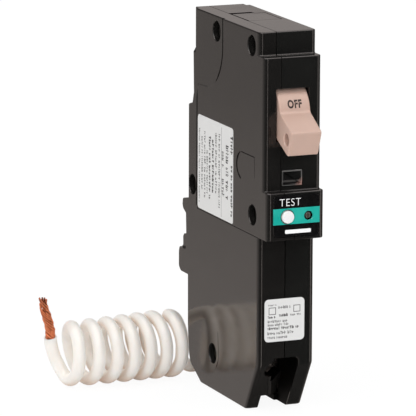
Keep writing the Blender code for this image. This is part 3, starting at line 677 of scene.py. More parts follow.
# painted shade: the load straps, terminal clamps and terminal screws sit in the dark slot and get
# near-black copies of copper and steel
metal("copper_strap_painted_shade", (0.16, 0.08, 0.055), rough=0.42, tarnish=0.4)
metal("clamp_steel_painted_shade", (0.07, 0.065, 0.06), rough=0.45, tarnish=0.4)
metal("screw_steel_painted_shade", (0.11, 0.105, 0.10), rough=0.36, tarnish=0.35)
# the rivets are oxide black, painted darker still as shade in their wells
metal("oxidised_rivet_painted_shade", (0.045, 0.043, 0.04), rough=0.45, tarnish=0.3)
metal("silver_contact", (0.86, 0.85, 0.82), rough=0.28)
metal("copper_strap", (0.78, 0.38, 0.24), rough=0.33, spots=(0.20, 0.09, 0.05))
metal("brass_strap", (0.78, 0.60, 0.30), rough=0.33, spots=(0.28, 0.18, 0.08))
wire_material()
strand_material()
plate_material()
lens_material()

# ==================================================================== case halves
# side view, (y, z, corner radius)
REAR_OUTLINE = [
    (30.8, TOP_Z, 0.5), (30.8, 47.5, 0.9), (30.0, 46.4, 0.8), (29.6, 33.0, 0.8),
    (30.7, 29.5, 0.8), (REAR_PAD_Y, 28.65, 0.5), (REAR_PAD_Y, -1.9, 0.4), (38.7, -2.9, 0.5),
    (39.1, -5.0, 0.9), (38.3, -6.4, 0.8), (36.1, -7.4, 0.6), (35.8, -14.0, 0.6),
    (39.5, -14.8, 0.7), (40.35, -15.8, 0.5), (40.3, -18.6, 0.6), (41.6, -19.5, 0.6),
    (42.1, -21.0, 1.2), (42.1, -26.0, 2.0), (40.3, -27.2, 1.5), (34.3, -27.2, 0.4),
    (34.2, -43.8, 3.0), (33.2, -52.5, 3.0), (31.9, -55.5, 2.0), (22.9, BOT_Z, 1.2)]
FRONT_OUTLINE = [
    (-14.6, BOT_Z, 1.4), (FRONT_Y, -44.5, 2.0), (FRONT_Y, BLOCK_Z, 0.3),
    (-31.3, BLOCK_Z, 0.6), (-31.3, 11.38, 0.45), (-28.5, 11.38, 0.3),
    (-28.5, 52.9, 0.4), (-24.3, 52.9, 0.4), (-24.3, TOP_Z, 0.4)]
# raised block of the cover: its own rear edge, then the nose of the case
BLOCK_REAR = ([(4.75, TOP_Z, 0.3), (4.62, 53.0, 1.5)]
              + [(y, z, 2.0) for y, z in arc(BLOCK_CURVE, BLOCK_CURVE_R, 181.0, 264.0, 7)]
              + [(25.6, 36.3, 1.4), (25.6, BLOCK_Z, 1.2)])
BLOCK_FRONT = FRONT_OUTLINE[3:]
# inside of the walls, (y, z)
CAVITY = [(22.8, 58.5), (22.8, 45.4), (28.2, 45.4), (28.0, 33.2), (28.4, 29.4),
          (29.1, 27.1), (32.2, 27.0), (32.2, -26.0), (32.5, -43.5), (31.5, -52.0),
          (30.5, -54.3), (22.4, -58.5), (-8.0, -58.5), (-8.0, -41.3), (-22.4, -41.3),
          (-22.4, -2.08), (-29.7, -2.08), (-29.7, 9.78), (-26.9, 9.78),
          (-26.9, 51.3), (-22.7, 51.3), (-22.7, 58.5)]
# distances in from the side face at which the rounded edge has a ring
DEPTHS = [1.5, 1.25, 1.0, 0.75, 0.55, 0.42, 0.35, 0.28, 0.2, 0.12, 0.06, 0.02, 0.0]
FRONT_ROUND_W, FRONT_ROUND_Y = 1.5, 1.4      # the front edges roll back as a quarter ellipse
EDGE_R, BLOCK_EDGE_R = 0.35, 0.22

# load-terminal slot in front view, (x, z, corner radius)
SLOT_LIP = [(-3.75, -42.2, 0.4), (4.85, -42.2, 1.5), (4.85, -62.0, 0.1), (-5.6, -62.0, 0.1),
            (-5.6, -55.4, 0.2), (0.6, -55.4, 0.3), (0.6, -47.0, 0.2), (-0.8, -47.8, 0.3),
            (-3.0, -50.2, 0.6), (-3.75, -50.2, 0.2)]
SLOT = [(-3.5, -42.5, 0.3), (4.5, -42.5, 1.2), (4.5, -62.0, 0.1), (-5.3, -62.0, 0.1),
        (-5.3, -55.6, 0.2), (0.6, -55.6, 0.3), (0.6, -47.2, 0.2), (-0.7, -48.0, 0.3),
        (-2.9, -50.4, 0.6), (-3.5, -50.4, 0.2)]
SLOT_DEEP = [(-3.5, -42.5, 0.3), (4.5, -42.5, 1.2), (4.5, -62.0, 0.1), (-5.3, -62.0, 0.1),
             (-5.3, -49.0, 0.8), (-3.5, -49.0, 0.8)]


def quarter(depth, radius):
    """How far a quarter round of unit height has fallen at a depth: 1 at the face, then 0."""
    if depth >= radius:
        return 0.0
    return 1 - math.sqrt(max(0.0, 1 - (1 - depth / radius) ** 2))


def case_ring(x, rear, front, front_shift=0, margin=0):
    stations = rear + [(y + front_shift, z, r) for y, z, r in front]
    return level(rounded(stations, margin=margin), x, 'X')


def edge_rings(side, half_width, rear, front, edge_r):
    """Rings of the rounded edge next to a side face."""
    return [case_ring(side * (half_width - d), rear, front,
                      FRONT_ROUND_Y * quarter(d, FRONT_ROUND_W), edge_r * quarter(d, edge_r))
            for d in DEPTHS]


def hollow(ob, side, upper_seam, lower_seam):
    """Cavity, stepped seam and the ledge across the upper rear corner."""
    start = upper_seam if side > 0 else lower_seam
    if side > 0:
        floor_x = 8.0
        step = box(upper_seam - 2, lower_seam, -35, 45, BOT_Z - 2, SEAM_Z)
    else:
        floor_x = 7.9
        step = box(upper_seam, lower_seam + 2, -35, 45, SEAM_Z - 0.1, TOP_Z + 2)
    ledge = [(side * 8.0, TOP_Z + 2), (side * 8.0, 47.3), (side * 9.3, 45.8),
             (side * 12.0, 45.8), (side * 12.0, TOP_Z + 2)]
    carve(ob, prism(CAVITY, start - side, side * floor_x), step,
          prism(ledge[::side * -1], 27.75, 45, 'Y'))


def rivet_bosses(ob, side, upper_seam, lower_seam):
    for key, centre in RIVETS.items():
        seam = lower_seam if centre[1] < 0 else upper_seam
        if key.startswith("mid"):
            seam = lower_seam if side > 0 else upper_seam
        boss = circle(centre, 4.1)
        if key == "mid_rear":
            boss = [(min(y, 33.0), z) for y, z in boss]
        carve(ob, prism(boss, side * 8.4, seam), operation='UNION')
        at_full_width = side > 0 or key in ("top_front", "mid_front")
        face = HALF_W if at_full_width else RECESSED_W
        well = [(side * (face + 1), 3.36), (side * (face + 0.01), 3.36),
                (side * (face - 0.12), 3.22), (side * (face - 0.3), 3.16), (side * 7.0, 3.10)]
        hole = [(side * 9.0, 1.75), (seam - side * 1.0, 1.75)]
        carve(ob, turned(well, centre, 'X', 48), turned(hole, centre, 'X', 24))


def front_openings(ob):
    """Handle window, lens window, recess of the test plate and its two holes."""
    window = fillet(rectangle(*HANDLE_WINDOW), 0.4, 3)
    window_lip = fillet(rectangle(*HANDLE_WINDOW, grow=0.25), 0.5, 3)
    carve(ob,
          stack('Y', (window_lip, -31.5), (window_lip, -28.55), (window, -28.2), (window, -24.5)),
          prism(fillet(rectangle(*LENS, grow=0.15), 0.35, 3), -31.5, -24.5, 'Y'),
          prism(fillet(rectangle(*PLATE, grow=0.12), 1.4, 6), -33.3, -30.7, 'Y'),
          turned([(-34.0, 2.35), (-27.0, 2.35)], BUTTON, 'Y'),
          turned([(-34.0, 1.5), (-27.0, 1.5)], LED, 'Y', 24))


def terminal_slot(ob):
    """Load-terminal slot with a rounded upper right corner and a lipped edge.

    A guard wall stands in its left half, flush at its left end and rounded off to the right."""
    lip, slot = rounded(SLOT_LIP), rounded(SLOT)
    round_off = []
    for z in (-46.8, -55.75):
        front = FRONT_Y + max(0.0, -44.5 - z) * 0.6      # the case slopes back below -44.5
        left, right = -4.3 - (z + 50.5) * 0.245, 0.9
        round_off.append(
            [(left - 0.12, -30.0, z), (right, -30.0, z)]
            + [(left + (right - left) * k / 8, front + 0.12 + 2.9 * (1 - math.cos(k / 8 * 1.45)), z)
               for k in range(8, -1, -1)]
            + [(left + 0.02, front + 0.75, z), (left - 0.12, front + 0.75, z)])
    carve(ob,
          stack('Y', (lip, -30.0), (lip, -24.02), (slot, -23.6), (slot, -13.9)),
          prism(rounded(SLOT_DEEP, 5), -14.0, -7.0, 'Y'),
          box(-5.3, 3.5, -18.0, 0.6, BOT_Z - 2, -57.2),
          loft(round_off),
          turned([(20.0, 2.4), (40.0, 2.4)], (SEAM_LO, -53.4), 'Y', 24))   # wire outlet


def base_details(ob):
    """Vent pocket in the top, a slot in the rear wall and a slot in the bottom."""
    pocket = [(-4.5, -1.95), (7.72, -1.95), (7.72, 11.75), (4.05, 11.75), (4.05, 14.15),
              (-4.5, 14.15)]
    carve(ob, prism(pocket, 58.75, TOP_Z + 1, 'Z'),
          box(-2.0, 6.0, -0.5, 6.3, 57.5, 59.4),
          prism(fillet(rectangle(0.7, 3.7, 31.3, 45.8), 0.4, 3), 26.0, 36.0, 'Y'),
          box(4.7, 7.6, -4.4, 1.2, BOT_Z - 2, -57.0))


def cover_details(ob):
    outside = -11.0                          # cutters of the left face start clear of it
    # skewed funnel that leads a driver to the neutral screw: (y, x, z, radius)
    funnel = [(-30.0, -3.1, -46.2, 3.05), (-24.0, -3.1, -46.2, 3.05), (-23.85, -3.15, -46.2, 2.9),
              (-20.9, -4.6, -46.1, 2.5), (-7.0, *SCREW_NEU, 2.5)]
    # the upper finger of the rail foot is set back from the side
    finger = [(35.2, -14.2, 0.6), (44.0, -14.0, 0.2), (44.0, -19.3, 0.2), (36.0, -19.3, 0.8)]
    carve(ob, stack('Y', *((circle((x, z), r, 40), y) for y, x, z, r in funnel)),
          box(-3.7, -0.8, -4.4, 1.2, BOT_Z - 2, -57.0),
          prism(rounded(finger), -12.0, -8.3))
    # engraved half-round line by the front edge, with a line above it and one in front
    face = -(HALF_W - 0.26)
    bow = [(-10.3, 21.1)] + arc((-11.0, 16.65), 4.45, 80.0, -80.0, 18)
    bow_in = [(-10.3, 20.4)] + arc((-11.0, 16.65), 3.55, 80.0, -80.0, 18)
    carve(ob, prism(bow + bow_in[::-1], outside, face),
          prism([(-21.2, 21.15), (-10.6, 21.15), (-10.6, 20.8), (-21.2, 20.8)], outside, face),
          prism([(-21.2, 20.9), (-20.95, 20.9), (-20.98, 14.6), (-21.2, 14.6)], outside,
                face - 0.17))
    # parting groove round the raised block; it narrows along the curve and runs out
    near = [(4.55, TOP_Z + 1), (4.50, 53.0)] + arc(BLOCK_CURVE, BLOCK_CURVE_R + 0.1,
                                                   181.0, 240.0, 12)
    far = [(6.0, TOP_Z + 1), (5.95, 53.0)]
    for k in range(13):
        angle = math.radians(181.0 + 59.0 * k / 12)
        runout = 1.0 if k < 10 else (13 - k) / 4
        r = BLOCK_CURVE_R - (0.10 + 1.25 * abs(math.cos(angle)) * runout)
        far.append((BLOCK_CURVE[0] + r * math.cos(angle), BLOCK_CURVE[1] + r * math.sin(angle)))
    below = [(26.5, BLOCK_Z), (-23.0, BLOCK_Z), (-23.0, -4.0), (26.5, -4.0)]
    carve(ob, prism(near + far[::-1], outside, -8.7),
          prism([(25.5, 36.4), (25.5, -3.0), (27.05, -3.0), (27.05, 32.0), (25.75, 36.4)],
                outside, -8.7),
          prism(below, outside, -8.95))
    # engraved arc beside the lower rivet well
    centre = RIVETS["bottom"]
    line = [(8.5, -40.6), (8.1, -45.0)] + arc(centre, 5.0, 176.0, 232.0, 8)
    inner = [(centre[0] + (y - centre[0]) * 0.93,
              z if z > -44 else centre[1] + (z - centre[1]) * 0.93) for y, z in line]
    carve(ob, prism(line + inner[::-1], outside, -8.98))


def case_half(name, side, material, replaced):
    """side is 1 for the base on the right, -1 for the cover on the left."""
    upper_seam = SEAM_HI + side * SEAM_GAP
    lower_seam = SEAM_LO + side * SEAM_GAP
    start = upper_seam if side > 0 else lower_seam
    width = HALF_W if side > 0 else RECESSED_W
    ob = solid(name, loft(
        [case_ring(start, REAR_OUTLINE, FRONT_OUTLINE, margin=0.24),
         case_ring(start + side * 0.18, REAR_OUTLINE, FRONT_OUTLINE)]
        + edge_rings(side, width, REAR_OUTLINE, FRONT_OUTLINE, EDGE_R)))
    if side < 0:
        carve(ob, loft([case_ring(-6.5, BLOCK_REAR, BLOCK_FRONT)]
                       + edge_rings(side, HALF_W, BLOCK_REAR, BLOCK_FRONT, BLOCK_EDGE_R)),
              operation='UNION')
    hollow(ob, side, upper_seam, lower_seam)
    rivet_bosses(ob, side, upper_seam, lower_seam)
    front_openings(ob)
    terminal_slot(ob)
    if side > 0:
        base_details(ob)
    else:
        cover_details(ob)
    soften(ob, 0.17)
    shade(ob, 34)
    place(ob, "case_body", material, "case_plastic", replaced)


case_half("case_cover", -1, "case_cover_plastic", "left_case_cover")
case_half("case_base", 1, "case_base_plastic", "right_case_base")


def vent_baffle():
    stations = [(-3.30, -1.30, 0.2), (7.55, -1.30, 0.3), (7.55, 11.50, 0.3),
                (3.85, 11.50, 0.2), (3.85, 12.35, 0.3), (-3.30, 12.35, 0.3)]
    baffle = solid("vent_baffle", prism(rounded(stations, 3), 59.05, 60.12, 'Z'))
    soften(baffle, 0.08)
    shade(baffle)
    place(baffle, "case_body", "case_base_plastic", "case_plastic", "arc_vent_baffle")


vent_baffle()

# (x, radius): rolled head on the left, shank, set head on the right
RIVET_PROFILE = [
    (-7.55, 0.0), (-7.6, 0.9), (-7.66, 1.15), (-7.72, 1.5), (-7.68, 1.95), (-7.55, 2.3),
    (-7.4, 2.45), (-7.25, 2.42), (-7.15, 2.3), (-7.15, 1.4), (7.15, 1.4), (7.15, 2.1),
    (7.25, 2.3), (7.4, 2.28), (7.55, 2.0), (7.66, 1.5), (7.6, 1.0), (7.5, 0.6), (7.45, 0.0)]
# rivets get the oxide black finish, darkened further as painted shade in the wells
for key, centre in RIVETS.items():
    rivet = solid("rivet_" + key + "_fine", turned(RIVET_PROFILE, centre, 'X'))
    shade(rivet, 40)
    place(rivet, "case_body", "oxidised_rivet_painted_shade", "steel", "rivet_" + key)


# ========================================================================= labels
def label_film(name, outline, axis, face, back, replaced):
    film = solid(name, stack(axis, (outline, face + back), (outline, face - 0.05),
                             (inset(outline, 0.03), face - 0.075)))
    shade(film, 50)
    place(film, "case_body", "label_film", "label_paper", replaced)


def letter_bars(width, height, stem, kind):
    """Bars of a letter-like shape: (from, to) along the row, (from, to) across it."""
    if kind < 0.45:
        return [(0, stem, 0, height), (0, width, 0, stem), (width - stem, width, 0, height * 0.8)]
    if kind < 0.75:
        return [(0, stem, 0, height), (0, width, height * 0.45, height * 0.45 + stem)]
    return [(0, width, height - stem, height), (width * 0.35, width * 0.35 + stem, 0, height)]


def greeked(rows, seed, axis):
    """Rows of letter-like bars that spell nothing: (baseline, height, start, end, heavy).

    On axis X the baseline is a y, rows run along z and letters stand towards the front.
    On axis Y the baseline is a z and rows run along x."""
    rnd = random.Random(seed)
    face = (LABEL_X if axis == 'X' else FRONT_Y) - INK_DEPTH
    bm = bmesh.new()
    for baseline, height, start, end, heavy in rows:
        if axis == 'X':
            baseline = -baseline
        pen = start
        step = 1 if end > start else -1
        while (end - pen) * step > height * 0.5:
            for _ in range(rnd.randint(2, 8)):
                width = height * rnd.choice((0.30, 0.42, 0.5, 0.55)) * (1.25 if heavy else 1)
                if (end - pen) * step < width:
                    break
                tall = height * rnd.choice((0.72, 0.72, 1.0, 0.86))
                stem = width * (0.46 if heavy else 0.37)
                for p0, p1, q0, q1 in letter_bars(width, tall, stem, rnd.random()):
                    a, b = pen + step * p0, pen + step * p1
                    c, d = baseline + q0, baseline + q1
                    quad = rectangle(-c, -d, a, b) if axis == 'X' else rectangle(a, b, c, d)
                    low = [bm.verts.new(p) for p in level(quad, face, axis)]
                    top = [bm.verts.new(p) for p in level(quad, face - INK_H, axis)]
                    bm.faces.new(low)
                    bm.faces.new(top)
                    for i in range(4):
                        j = (i + 1) % 4
                        bm.faces.new((low[i], low[j], top[j], top[i]))
                pen += step * (width + height * 0.16)
            pen += step * height * 0.45
    return bm


# label on the left face; rows as in greeked()
SIDE_ROWS = [(7.6, 1.35, 23.5, -0.3, False), (10.3, 1.4, 23.3, 2.9, False),
             (12.9, 1.5, 20.6, 2.4, True), (15.5, 1.5, 21.4, 1.0, True),
             (17.5, 1.2, 16.4, 2.4, False), (19.5, 1.35, 22.3, 0.6, False),
             (21.7, 1.2, 20.2, 3.0, False), (23.9, 1.0, 22.6, -1.7, False)]
SIDE_HEAVY = [(-2.15, 1.9, 24.4, 17.4, True), (-2.45, 1.5, 15.0, -1.2, True)]
SIDE_LARGE = [(1.6, 2.2, 20.8, 2.4, False), (4.9, 2.1, 18.3, 13.0, False),
              (4.9, 2.1, 9.6, 3.8, False)]
label_film("side_label_film",
           rounded([(-4.2, 26.9, 1.2), (-4.2, -3.3, 0.9), (24.9, -3.3, 1.2), (24.9, 26.9, 1.3)], 6),
           'X', LABEL_X, 0.03, "side_label")
ink = solid("side_label_print", greeked(SIDE_ROWS, 3, 'X'))
place(ink, "case_body", "label_ink", "label_paper")
rule = box(LABEL_X - 0.085, LABEL_X - INK_DEPTH, 5.15, 5.28, -2.8, 25.8)
ink = solid("side_label_bold", merge(greeked(SIDE_HEAVY, 5, 'X'), greeked(SIDE_LARGE, 9, 'X'), rule))
place(ink, "case_body", "label_ink_dark", "label_paper")

# label on the front face
FRONT_ROWS = [(-25.6, 0.6, -5.85, -3.1, False), (-26.6, 0.95, -2.5, 1.8, False),
              (-29.15, 1.0, -2.3, 0.9, True), (-29.15, 0.8, 1.5, 5.0, False),
              (-29.5, 0.8, -6.0, -2.9, True), (-30.9, 0.95, -6.0, 1.0, False),
              (-31.95, 0.8, -6.0, 1.2, False), (-33.15, 0.9, -6.1, 4.9, True),
              (-34.7, 0.95, -6.1, 3.3, False), (-36.0, 0.9, -6.1, 0.7, False)]
TICK_BOXES = [(-5.7, -3.3, -28.4, -26.1), (2.6, 4.9, -28.0, -25.8)]    # as rectangle()
TICK_LINE = 0.2
label_film("front_label_film", fillet(rectangle(-7.1, 6.3, -37.0, -23.5), 1.35, 6),
           'Y', FRONT_Y, 0.05, "front_label")
prints = [greeked(FRONT_ROWS, 11, 'Y')]
for x0, x1, z0, z1 in TICK_BOXES:
    for bar in ((x0, x1, z1 - TICK_LINE, z1), (x0, x1, z0, z0 + TICK_LINE),
                (x0, x0 + TICK_LINE, z0 + TICK_LINE, z1 - TICK_LINE),
                (x1 - TICK_LINE, x1, z0 + TICK_LINE, z1 - TICK_LINE)):
        prints.append(box(*bar[:2], FRONT_Y - INK_DEPTH - INK_H, FRONT_Y - INK_DEPTH, *bar[2:]))
ink = solid("front_label_print", merge(*prints))
place(ink, "case_body", "label_ink", "label_paper")


# ============================================================ test plate and window
def test_plate():
    edge = fillet(rectangle(*PLATE), 1.3, 8)
    plate = solid("test_plate", stack('Y', (edge, -30.85), (edge, -31.38),
                                      (inset(edge, 0.04), -31.47), (inset(edge, 0.14), PLATE_Y)))
    carve(plate,
          turned([(-34.0, 2.45), (PLATE_Y, 2.42), (-31.3, 2.28), (-27.0, 2.28)], BUTTON, 'Y', 48),
          turned([(-34.0, 1.6), (PLATE_Y, 1.58), (-31.3, 1.42), (-27.0, 1.42)], LED, 'Y', 40))
    shade(plate, 30)
    place(plate, "case_body", "test_plate", "test_plate_plastic", "test_face_plate")


def window_lens():
    """Pane with a raised border."""
    edge = fillet(rectangle(*LENS), 0.35, 3)
    lens = solid("trip_lens", stack('Y', (edge, -27.4), (edge, -28.38),
                                    (inset(edge, 0.10), -28.46), (inset(edge, 0.50), -28.46),
                                    (inset(edge, 0.62), -28.2)))
    shade(lens, 30)
    place(lens, "case_body", "smoked_lens", "lens_plastic", "trip_window_lens")


# (y, radius) from the front end to the rear end
BUTTON_PROFILE = [
    (-32.28, 0.0), (-32.29, 0.9), (-32.3, 1.45), (-32.22, 1.75), (-32.05, 1.93), (-31.8, 2.0),
    (-29.0, 2.0), (-29.0, 2.8), (-28.3, 2.8), (-28.3, 1.2), (-25.4, 1.2), (-25.4, 0.0)]
PIPE_PROFILE = [
    (-31.0, 0.0), (-31.0, 0.5), (-30.92, 0.85), (-30.7, 1.08), (-30.4, 1.12), (-29.3, 1.15),
    (-29.3, 1.9), (-28.6, 1.9), (-28.6, 1.1), (-25.6, 1.1), (-25.6, 0.0)]

test_plate()
button = solid("test_button_cap", turned(BUTTON_PROFILE, BUTTON, 'Y', 48))
shade(button, 40)
place(button, "button_body", "button_plastic", "button_plastic", "test_button")
pipe = solid("indicator_pipe", turned(PIPE_PROFILE, LED, 'Y'))
shade(pipe, 40)
place(pipe, "case_body", "pipe_plastic", "light_pipe", "indicator_light_pipe")
window_lens()


# ========================================================================= handle
def tan_handle():
    """Round hub with a lever that points forward and down, and a cross hole near its tip."""
    profile = ([(-26.6, 42.42)] + arc(HUB, HUB_R, 128.0, 171.0, 8)[1:]
               + [(-30.8, 35.8), (-39.4, 31.2), (-36.4, 23.4), (-27.9, 27.4)]
               + arc(HUB, HUB_R, 230.0, 484.0, 40))
    radii = [0.2] + [0.3] * 8 + [1.3, 0.75, 0.7, 0.8] + [0.3] * 41
    edge_r = 0.5
    width = 2 * HANDLE_HALF_W
    depths = [0.0, 0.05, 0.15, 0.32, 0.5]
    rings = []
    for d in [width - d for d in depths] + depths[::-1]:
        margin = edge_r * quarter(min(d, width - d), edge_r)
        rings.append(level(fillet(inset(profile, margin), radii), HANDLE_HALF_W - d, 'X'))
    handle = solid("handle_tan", loft(rings))
    hole = [(-8.0, 2.25), (-5.1, 2.2), (-4.75, 1.9), (4.75, 1.9), (5.1, 2.2), (8.0, 2.25)]
    carve(handle, prism(circle(HUB, 1.9), -8, 8),
          turned(hole, (-35.3, 28.6), 'X', 40),
          box(-0.2, 5.0, -16.0, -10.0, 30.5, 34.5))
    shade(handle, 34)
    place(handle, "handle_body", "handle_plastic", "handle_plastic", "handle")


def words(text, size, bold):
    """Flat centred letters as a bmesh: x across, y up, z out."""
    curve = bpy.data.curves.new("t_" + text, 'FONT')
    curve.body = text
    curve.size = size
    curve.offset = bold
    curve.space_character = 1.12
    curve.align_x = 'CENTER'
    curve.align_y = 'CENTER'
    curve.resolution_u = 6
    curve.extrude = 0.006
    ob = link("t_" + text, curve)
    bpy.context.view_layer.update()
    bm = bmesh.new()
    bm.from_mesh(evaluated_mesh(ob))
    bpy.data.objects.remove(ob)
    return bm


def hub_word(name, text, middle_deg):
    """Letters printed round the hub: x across, text height along the arc."""
    bm = words(text, size=3.45, bold=0.15)
    long_edges = [e for e in bm.edges if e.calc_length() > 0.4]
    bmesh.ops.subdivide_edges(bm, edges=long_edges, cuts=2, use_grid_fill=False)
    narrowing = 0.72
    for v in bm.verts:
        angle = math.radians(middle_deg) - v.co.y / HUB_R
        r = HUB_R + 0.012 + (0.014 if v.co.z > 0 else -0.02)
        v.co = Vector((v.co.x * narrowing, HUB[0] + r * math.cos(angle),
                       HUB[1] + r * math.sin(angle)))
    place(solid(name, bm), "handle_body", "handle_print", "handle_plastic")


def plate_word(name, text, x0, x1, z0, z1):
    """Letters on the test plate, stretched to fill a rectangle."""
    bm = words(text, size=3.0, bold=-0.035)
    left, bottom = [min(v.co[k] for v in bm.verts) for k in (0, 1)]
    right, top = [max(v.co[k] for v in bm.verts) for k in (0, 1)]
    for v in bm.verts:
        v.co = Vector((x0 + (x1 - x0) * (v.co.x - left) / (right - left),
                       PLATE_Y - 0.01 - v.co.z,
                       z0 + (z1 - z0) * (v.co.y - bottom) / (top - bottom)))
    place(solid(name, bm), "case_body", "plate_print", "test_plate_plastic")


tan_handle()
hub_word("word_off", "OFF", 158.0)
hub_word("word_on", "ON", 238.0)
plate_word("word_test", "TEST", -5.45, 1.60, 7.20, 9.50)
# plain printed rule in the lower field
rule = solid("plate_rule", prism(fillet(rectangle(-3.6, 5.0, -1.45, -0.25), 0.3),
                                 -31.53, -31.48, 'Y'))
place(rule, "case_body", "plate_print", "test_plate_plastic")

# ======================================================================== pigtail
WIRE_R = 2.06
WIRE_SIDES = 28
COIL_TURNS = 6.5
STEPS_PER_TURN = 48
# each is a polynomial in turns / 7, constant term first
COIL_X = (-51.4, 47.3, -14.0, 5.9)
COIL_Y = (33.7, -1.0, 1.7)
COIL_R = (8.5, 0.7)
COIL_YAW = (0.0, 0.30, -0.13)
COIL_LEAN = (0.08, 0.05)


def polynomial(terms, k):
    return sum(term * k ** i for i, term in enumerate(terms))


def coil_point(turns):
    """Leaning loops of slowly growing radius; whole turns touch the floor."""
    k = turns / 7.0
    r, yaw, lean = [polynomial(terms, k) for terms in (COIL_R, COIL_YAW, COIL_LEAN)]
    near = Vector((math.sin(yaw), -math.cos(yaw), 0.0))
    up = Vector((-math.sin(lean) * math.cos(yaw), -math.sin(lean) * math.sin(yaw),
                 math.cos(lean)))
    centre = Vector((polynomial(COIL_X, k), polynomial(COIL_Y, k),
                     BOT_Z + WIRE_R + r * math.cos(lean)))
    angle = 2 * math.pi * turns
    return centre + r * (math.sin(angle) * near - math.cos(angle) * up)


def even(points, step):
    """The same line with points at equal distances."""
    out, left = [points[0]], step
    for a, b in zip(points, points[1:]):
        length = (b - a).length
        reach = left
        while reach <= length:
            out.append(a.lerp(b, reach / length))
            reach += step
        left = reach - length
    if (out[-1] - points[-1]).length > 0.05:
        out.append(points[-1])
    return out


def relaxed(points, free, rounds):
    """Rounds off kinks among the points whose numbers are in free."""
    for _ in range(rounds):
        points = [points[i - 1] * 0.25 + p * 0.5 + points[i + 1] * 0.25 if i in free else p
                  for i, p in enumerate(points)]
    return points


def wire_path():
    """From inside the case out at the rear, through the coil on the left, up to the cut end."""
    coil = [coil_point(i / STEPS_PER_TURN)
            for i in range(int(STEPS_PER_TURN * COIL_TURNS), -1, -1)]
    lead = smooth_path([
        (SEAM_LO, 24.0, -53.4), (SEAM_LO, 28.7, -53.4), (SEAM_LO, 33.0, -53.4),
        (-1.0, 36.0, -54.5), (-4.4, 36.6, -57.4), (-7.4, 37.0, -57.9), (-8.8, 39.6, -56.6),
        (-8.1, 41.8, -53.6), (-7.8, 42.3, -50.4), (-8.7, 41.5, -47.0), (-11.1, 39.2, -43.0),
        (-13.7, 36.5, -40.9), coil[0]], 8)
    tail = smooth_path([
        coil[-1], (-52.0, 35.2, -55.4), (-53.2, 36.2, -52.6), (-54.2, 36.5, -49.9),
        (-55.1, 36.4, -46.6), (-55.4, 36.2, -44.2)], 10)
    path = even(lead[:-1] + coil + tail[1:], 0.5)
    last = len(path) - 1
    bend = min(range(last), key=lambda i: (path[i] - coil[-1]).length)
    # only the bend between coil and tail is relaxed
    free = range(max(1, bend - 16), min(last - 6, bend + 17))
    return relaxed(path, free, 26)


def insulation(path, axis):
    """Wire with a nibbled, slightly drawn-in cut end that is hollow for the strands."""
    bm = tube(path, WIRE_R, WIRE_SIDES)
    bm.verts.ensure_lookup_table()
    rnd = random.Random(5)
    for i in range(WIRE_SIDES):
        v = bm.verts[len(bm.verts) - WIRE_SIDES + i]
        slant = 0.28 * math.sin(2 * math.pi * i / WIRE_SIDES + 0.8)
        v.co += axis * (rnd.uniform(-0.12, 0.12) + slant)
        v.co += (v.co - path[-1]).normalized() * rnd.uniform(-0.10, 0.02)
    wire = solid("pigtail_wire", bm)
    carve(wire, tube([path[-1] - axis * 1.1, path[-1] - axis * 0.3, path[-1] + axis * 2.0],
                     1.66, 24))
    shade(wire, 50)
    place(wire, "case_body", "wire_insulation", "wire_insulation", "neutral_pigtail")


def copper_strands(path, axis):
    """Twisted strands that fray towards the end."""
    core = smooth_path([path[-1] - axis * 1.0, path[-1] + axis * 0.2, (-55.4, 36.1, -42.3),
                        (-56.0, 36.0, -39.6), (-56.8, 36.0, -36.9), (-57.7, 36.0, -33.9),
                        (-58.0, 36.0, -31.2)], 10)
    twists = 1.75
    strands = []
    rnd = random.Random(21)
    total = len(core) - 1
    for layer_r, many in ((0.0, 1), (0.62, 5), (1.24, 10)):
        for number in range(many):
            phase = 2 * math.pi * number / many + rnd.uniform(-0.12, 0.12)
            end = total - rnd.choice((0, 2, 4, 7, 9, 13, 16))
            if layer_r == 0.0 or number in (2, 3):
                end = total
            splay = rnd.uniform(0.2, 1.0)
            stray = Vector((rnd.uniform(-1, 1), rnd.uniform(-1, 1), rnd.uniform(-0.2, 0.3)))
            stray.x = max(stray.x, -0.35)
            points = []
            for i in range(end + 1):
                t = i / total
                ahead = (core[min(i + 1, total)] - core[max(i - 1, 0)]).normalized()
                u = Vector((1, 0, 0)) - ahead * ahead.x
                u.normalize()
                v = ahead.cross(u)
                angle = phase - 2 * math.pi * twists * t
                bulge = 1.0 + (0.20 * math.exp(-((t - 0.20) / 0.12) ** 2)
                               * max(0.0, math.cos(phase - 0.3)))
                taper = 1.0 - 0.22 * max(0.0, (t - 0.62) / 0.38)
                r = layer_r * bulge * taper * (1.0 + 0.08 * math.sin(9 * t + phase * 3))
                point = core[i] + r * (math.cos(angle) * u + math.sin(angle) * v)
                fray = max(0.0, (i - (end - 4)) / 4)
                points.append(point + stray * (fray * fray * 0.7 * splay))
            strands.append(tube(points, 0.26 + 0.05 * rnd.random(), 8))
    ob = solid("copper_strands", merge(*strands))
    shade(ob, 60, weighted=False)
    place(ob, "case_body", "copper_strand", "copper", "pigtail_conductor")


path = wire_path()
end_axis = (path[-1] - path[-3]).normalized()
insulation(path, end_axis)
copper_strands(path, end_axis)


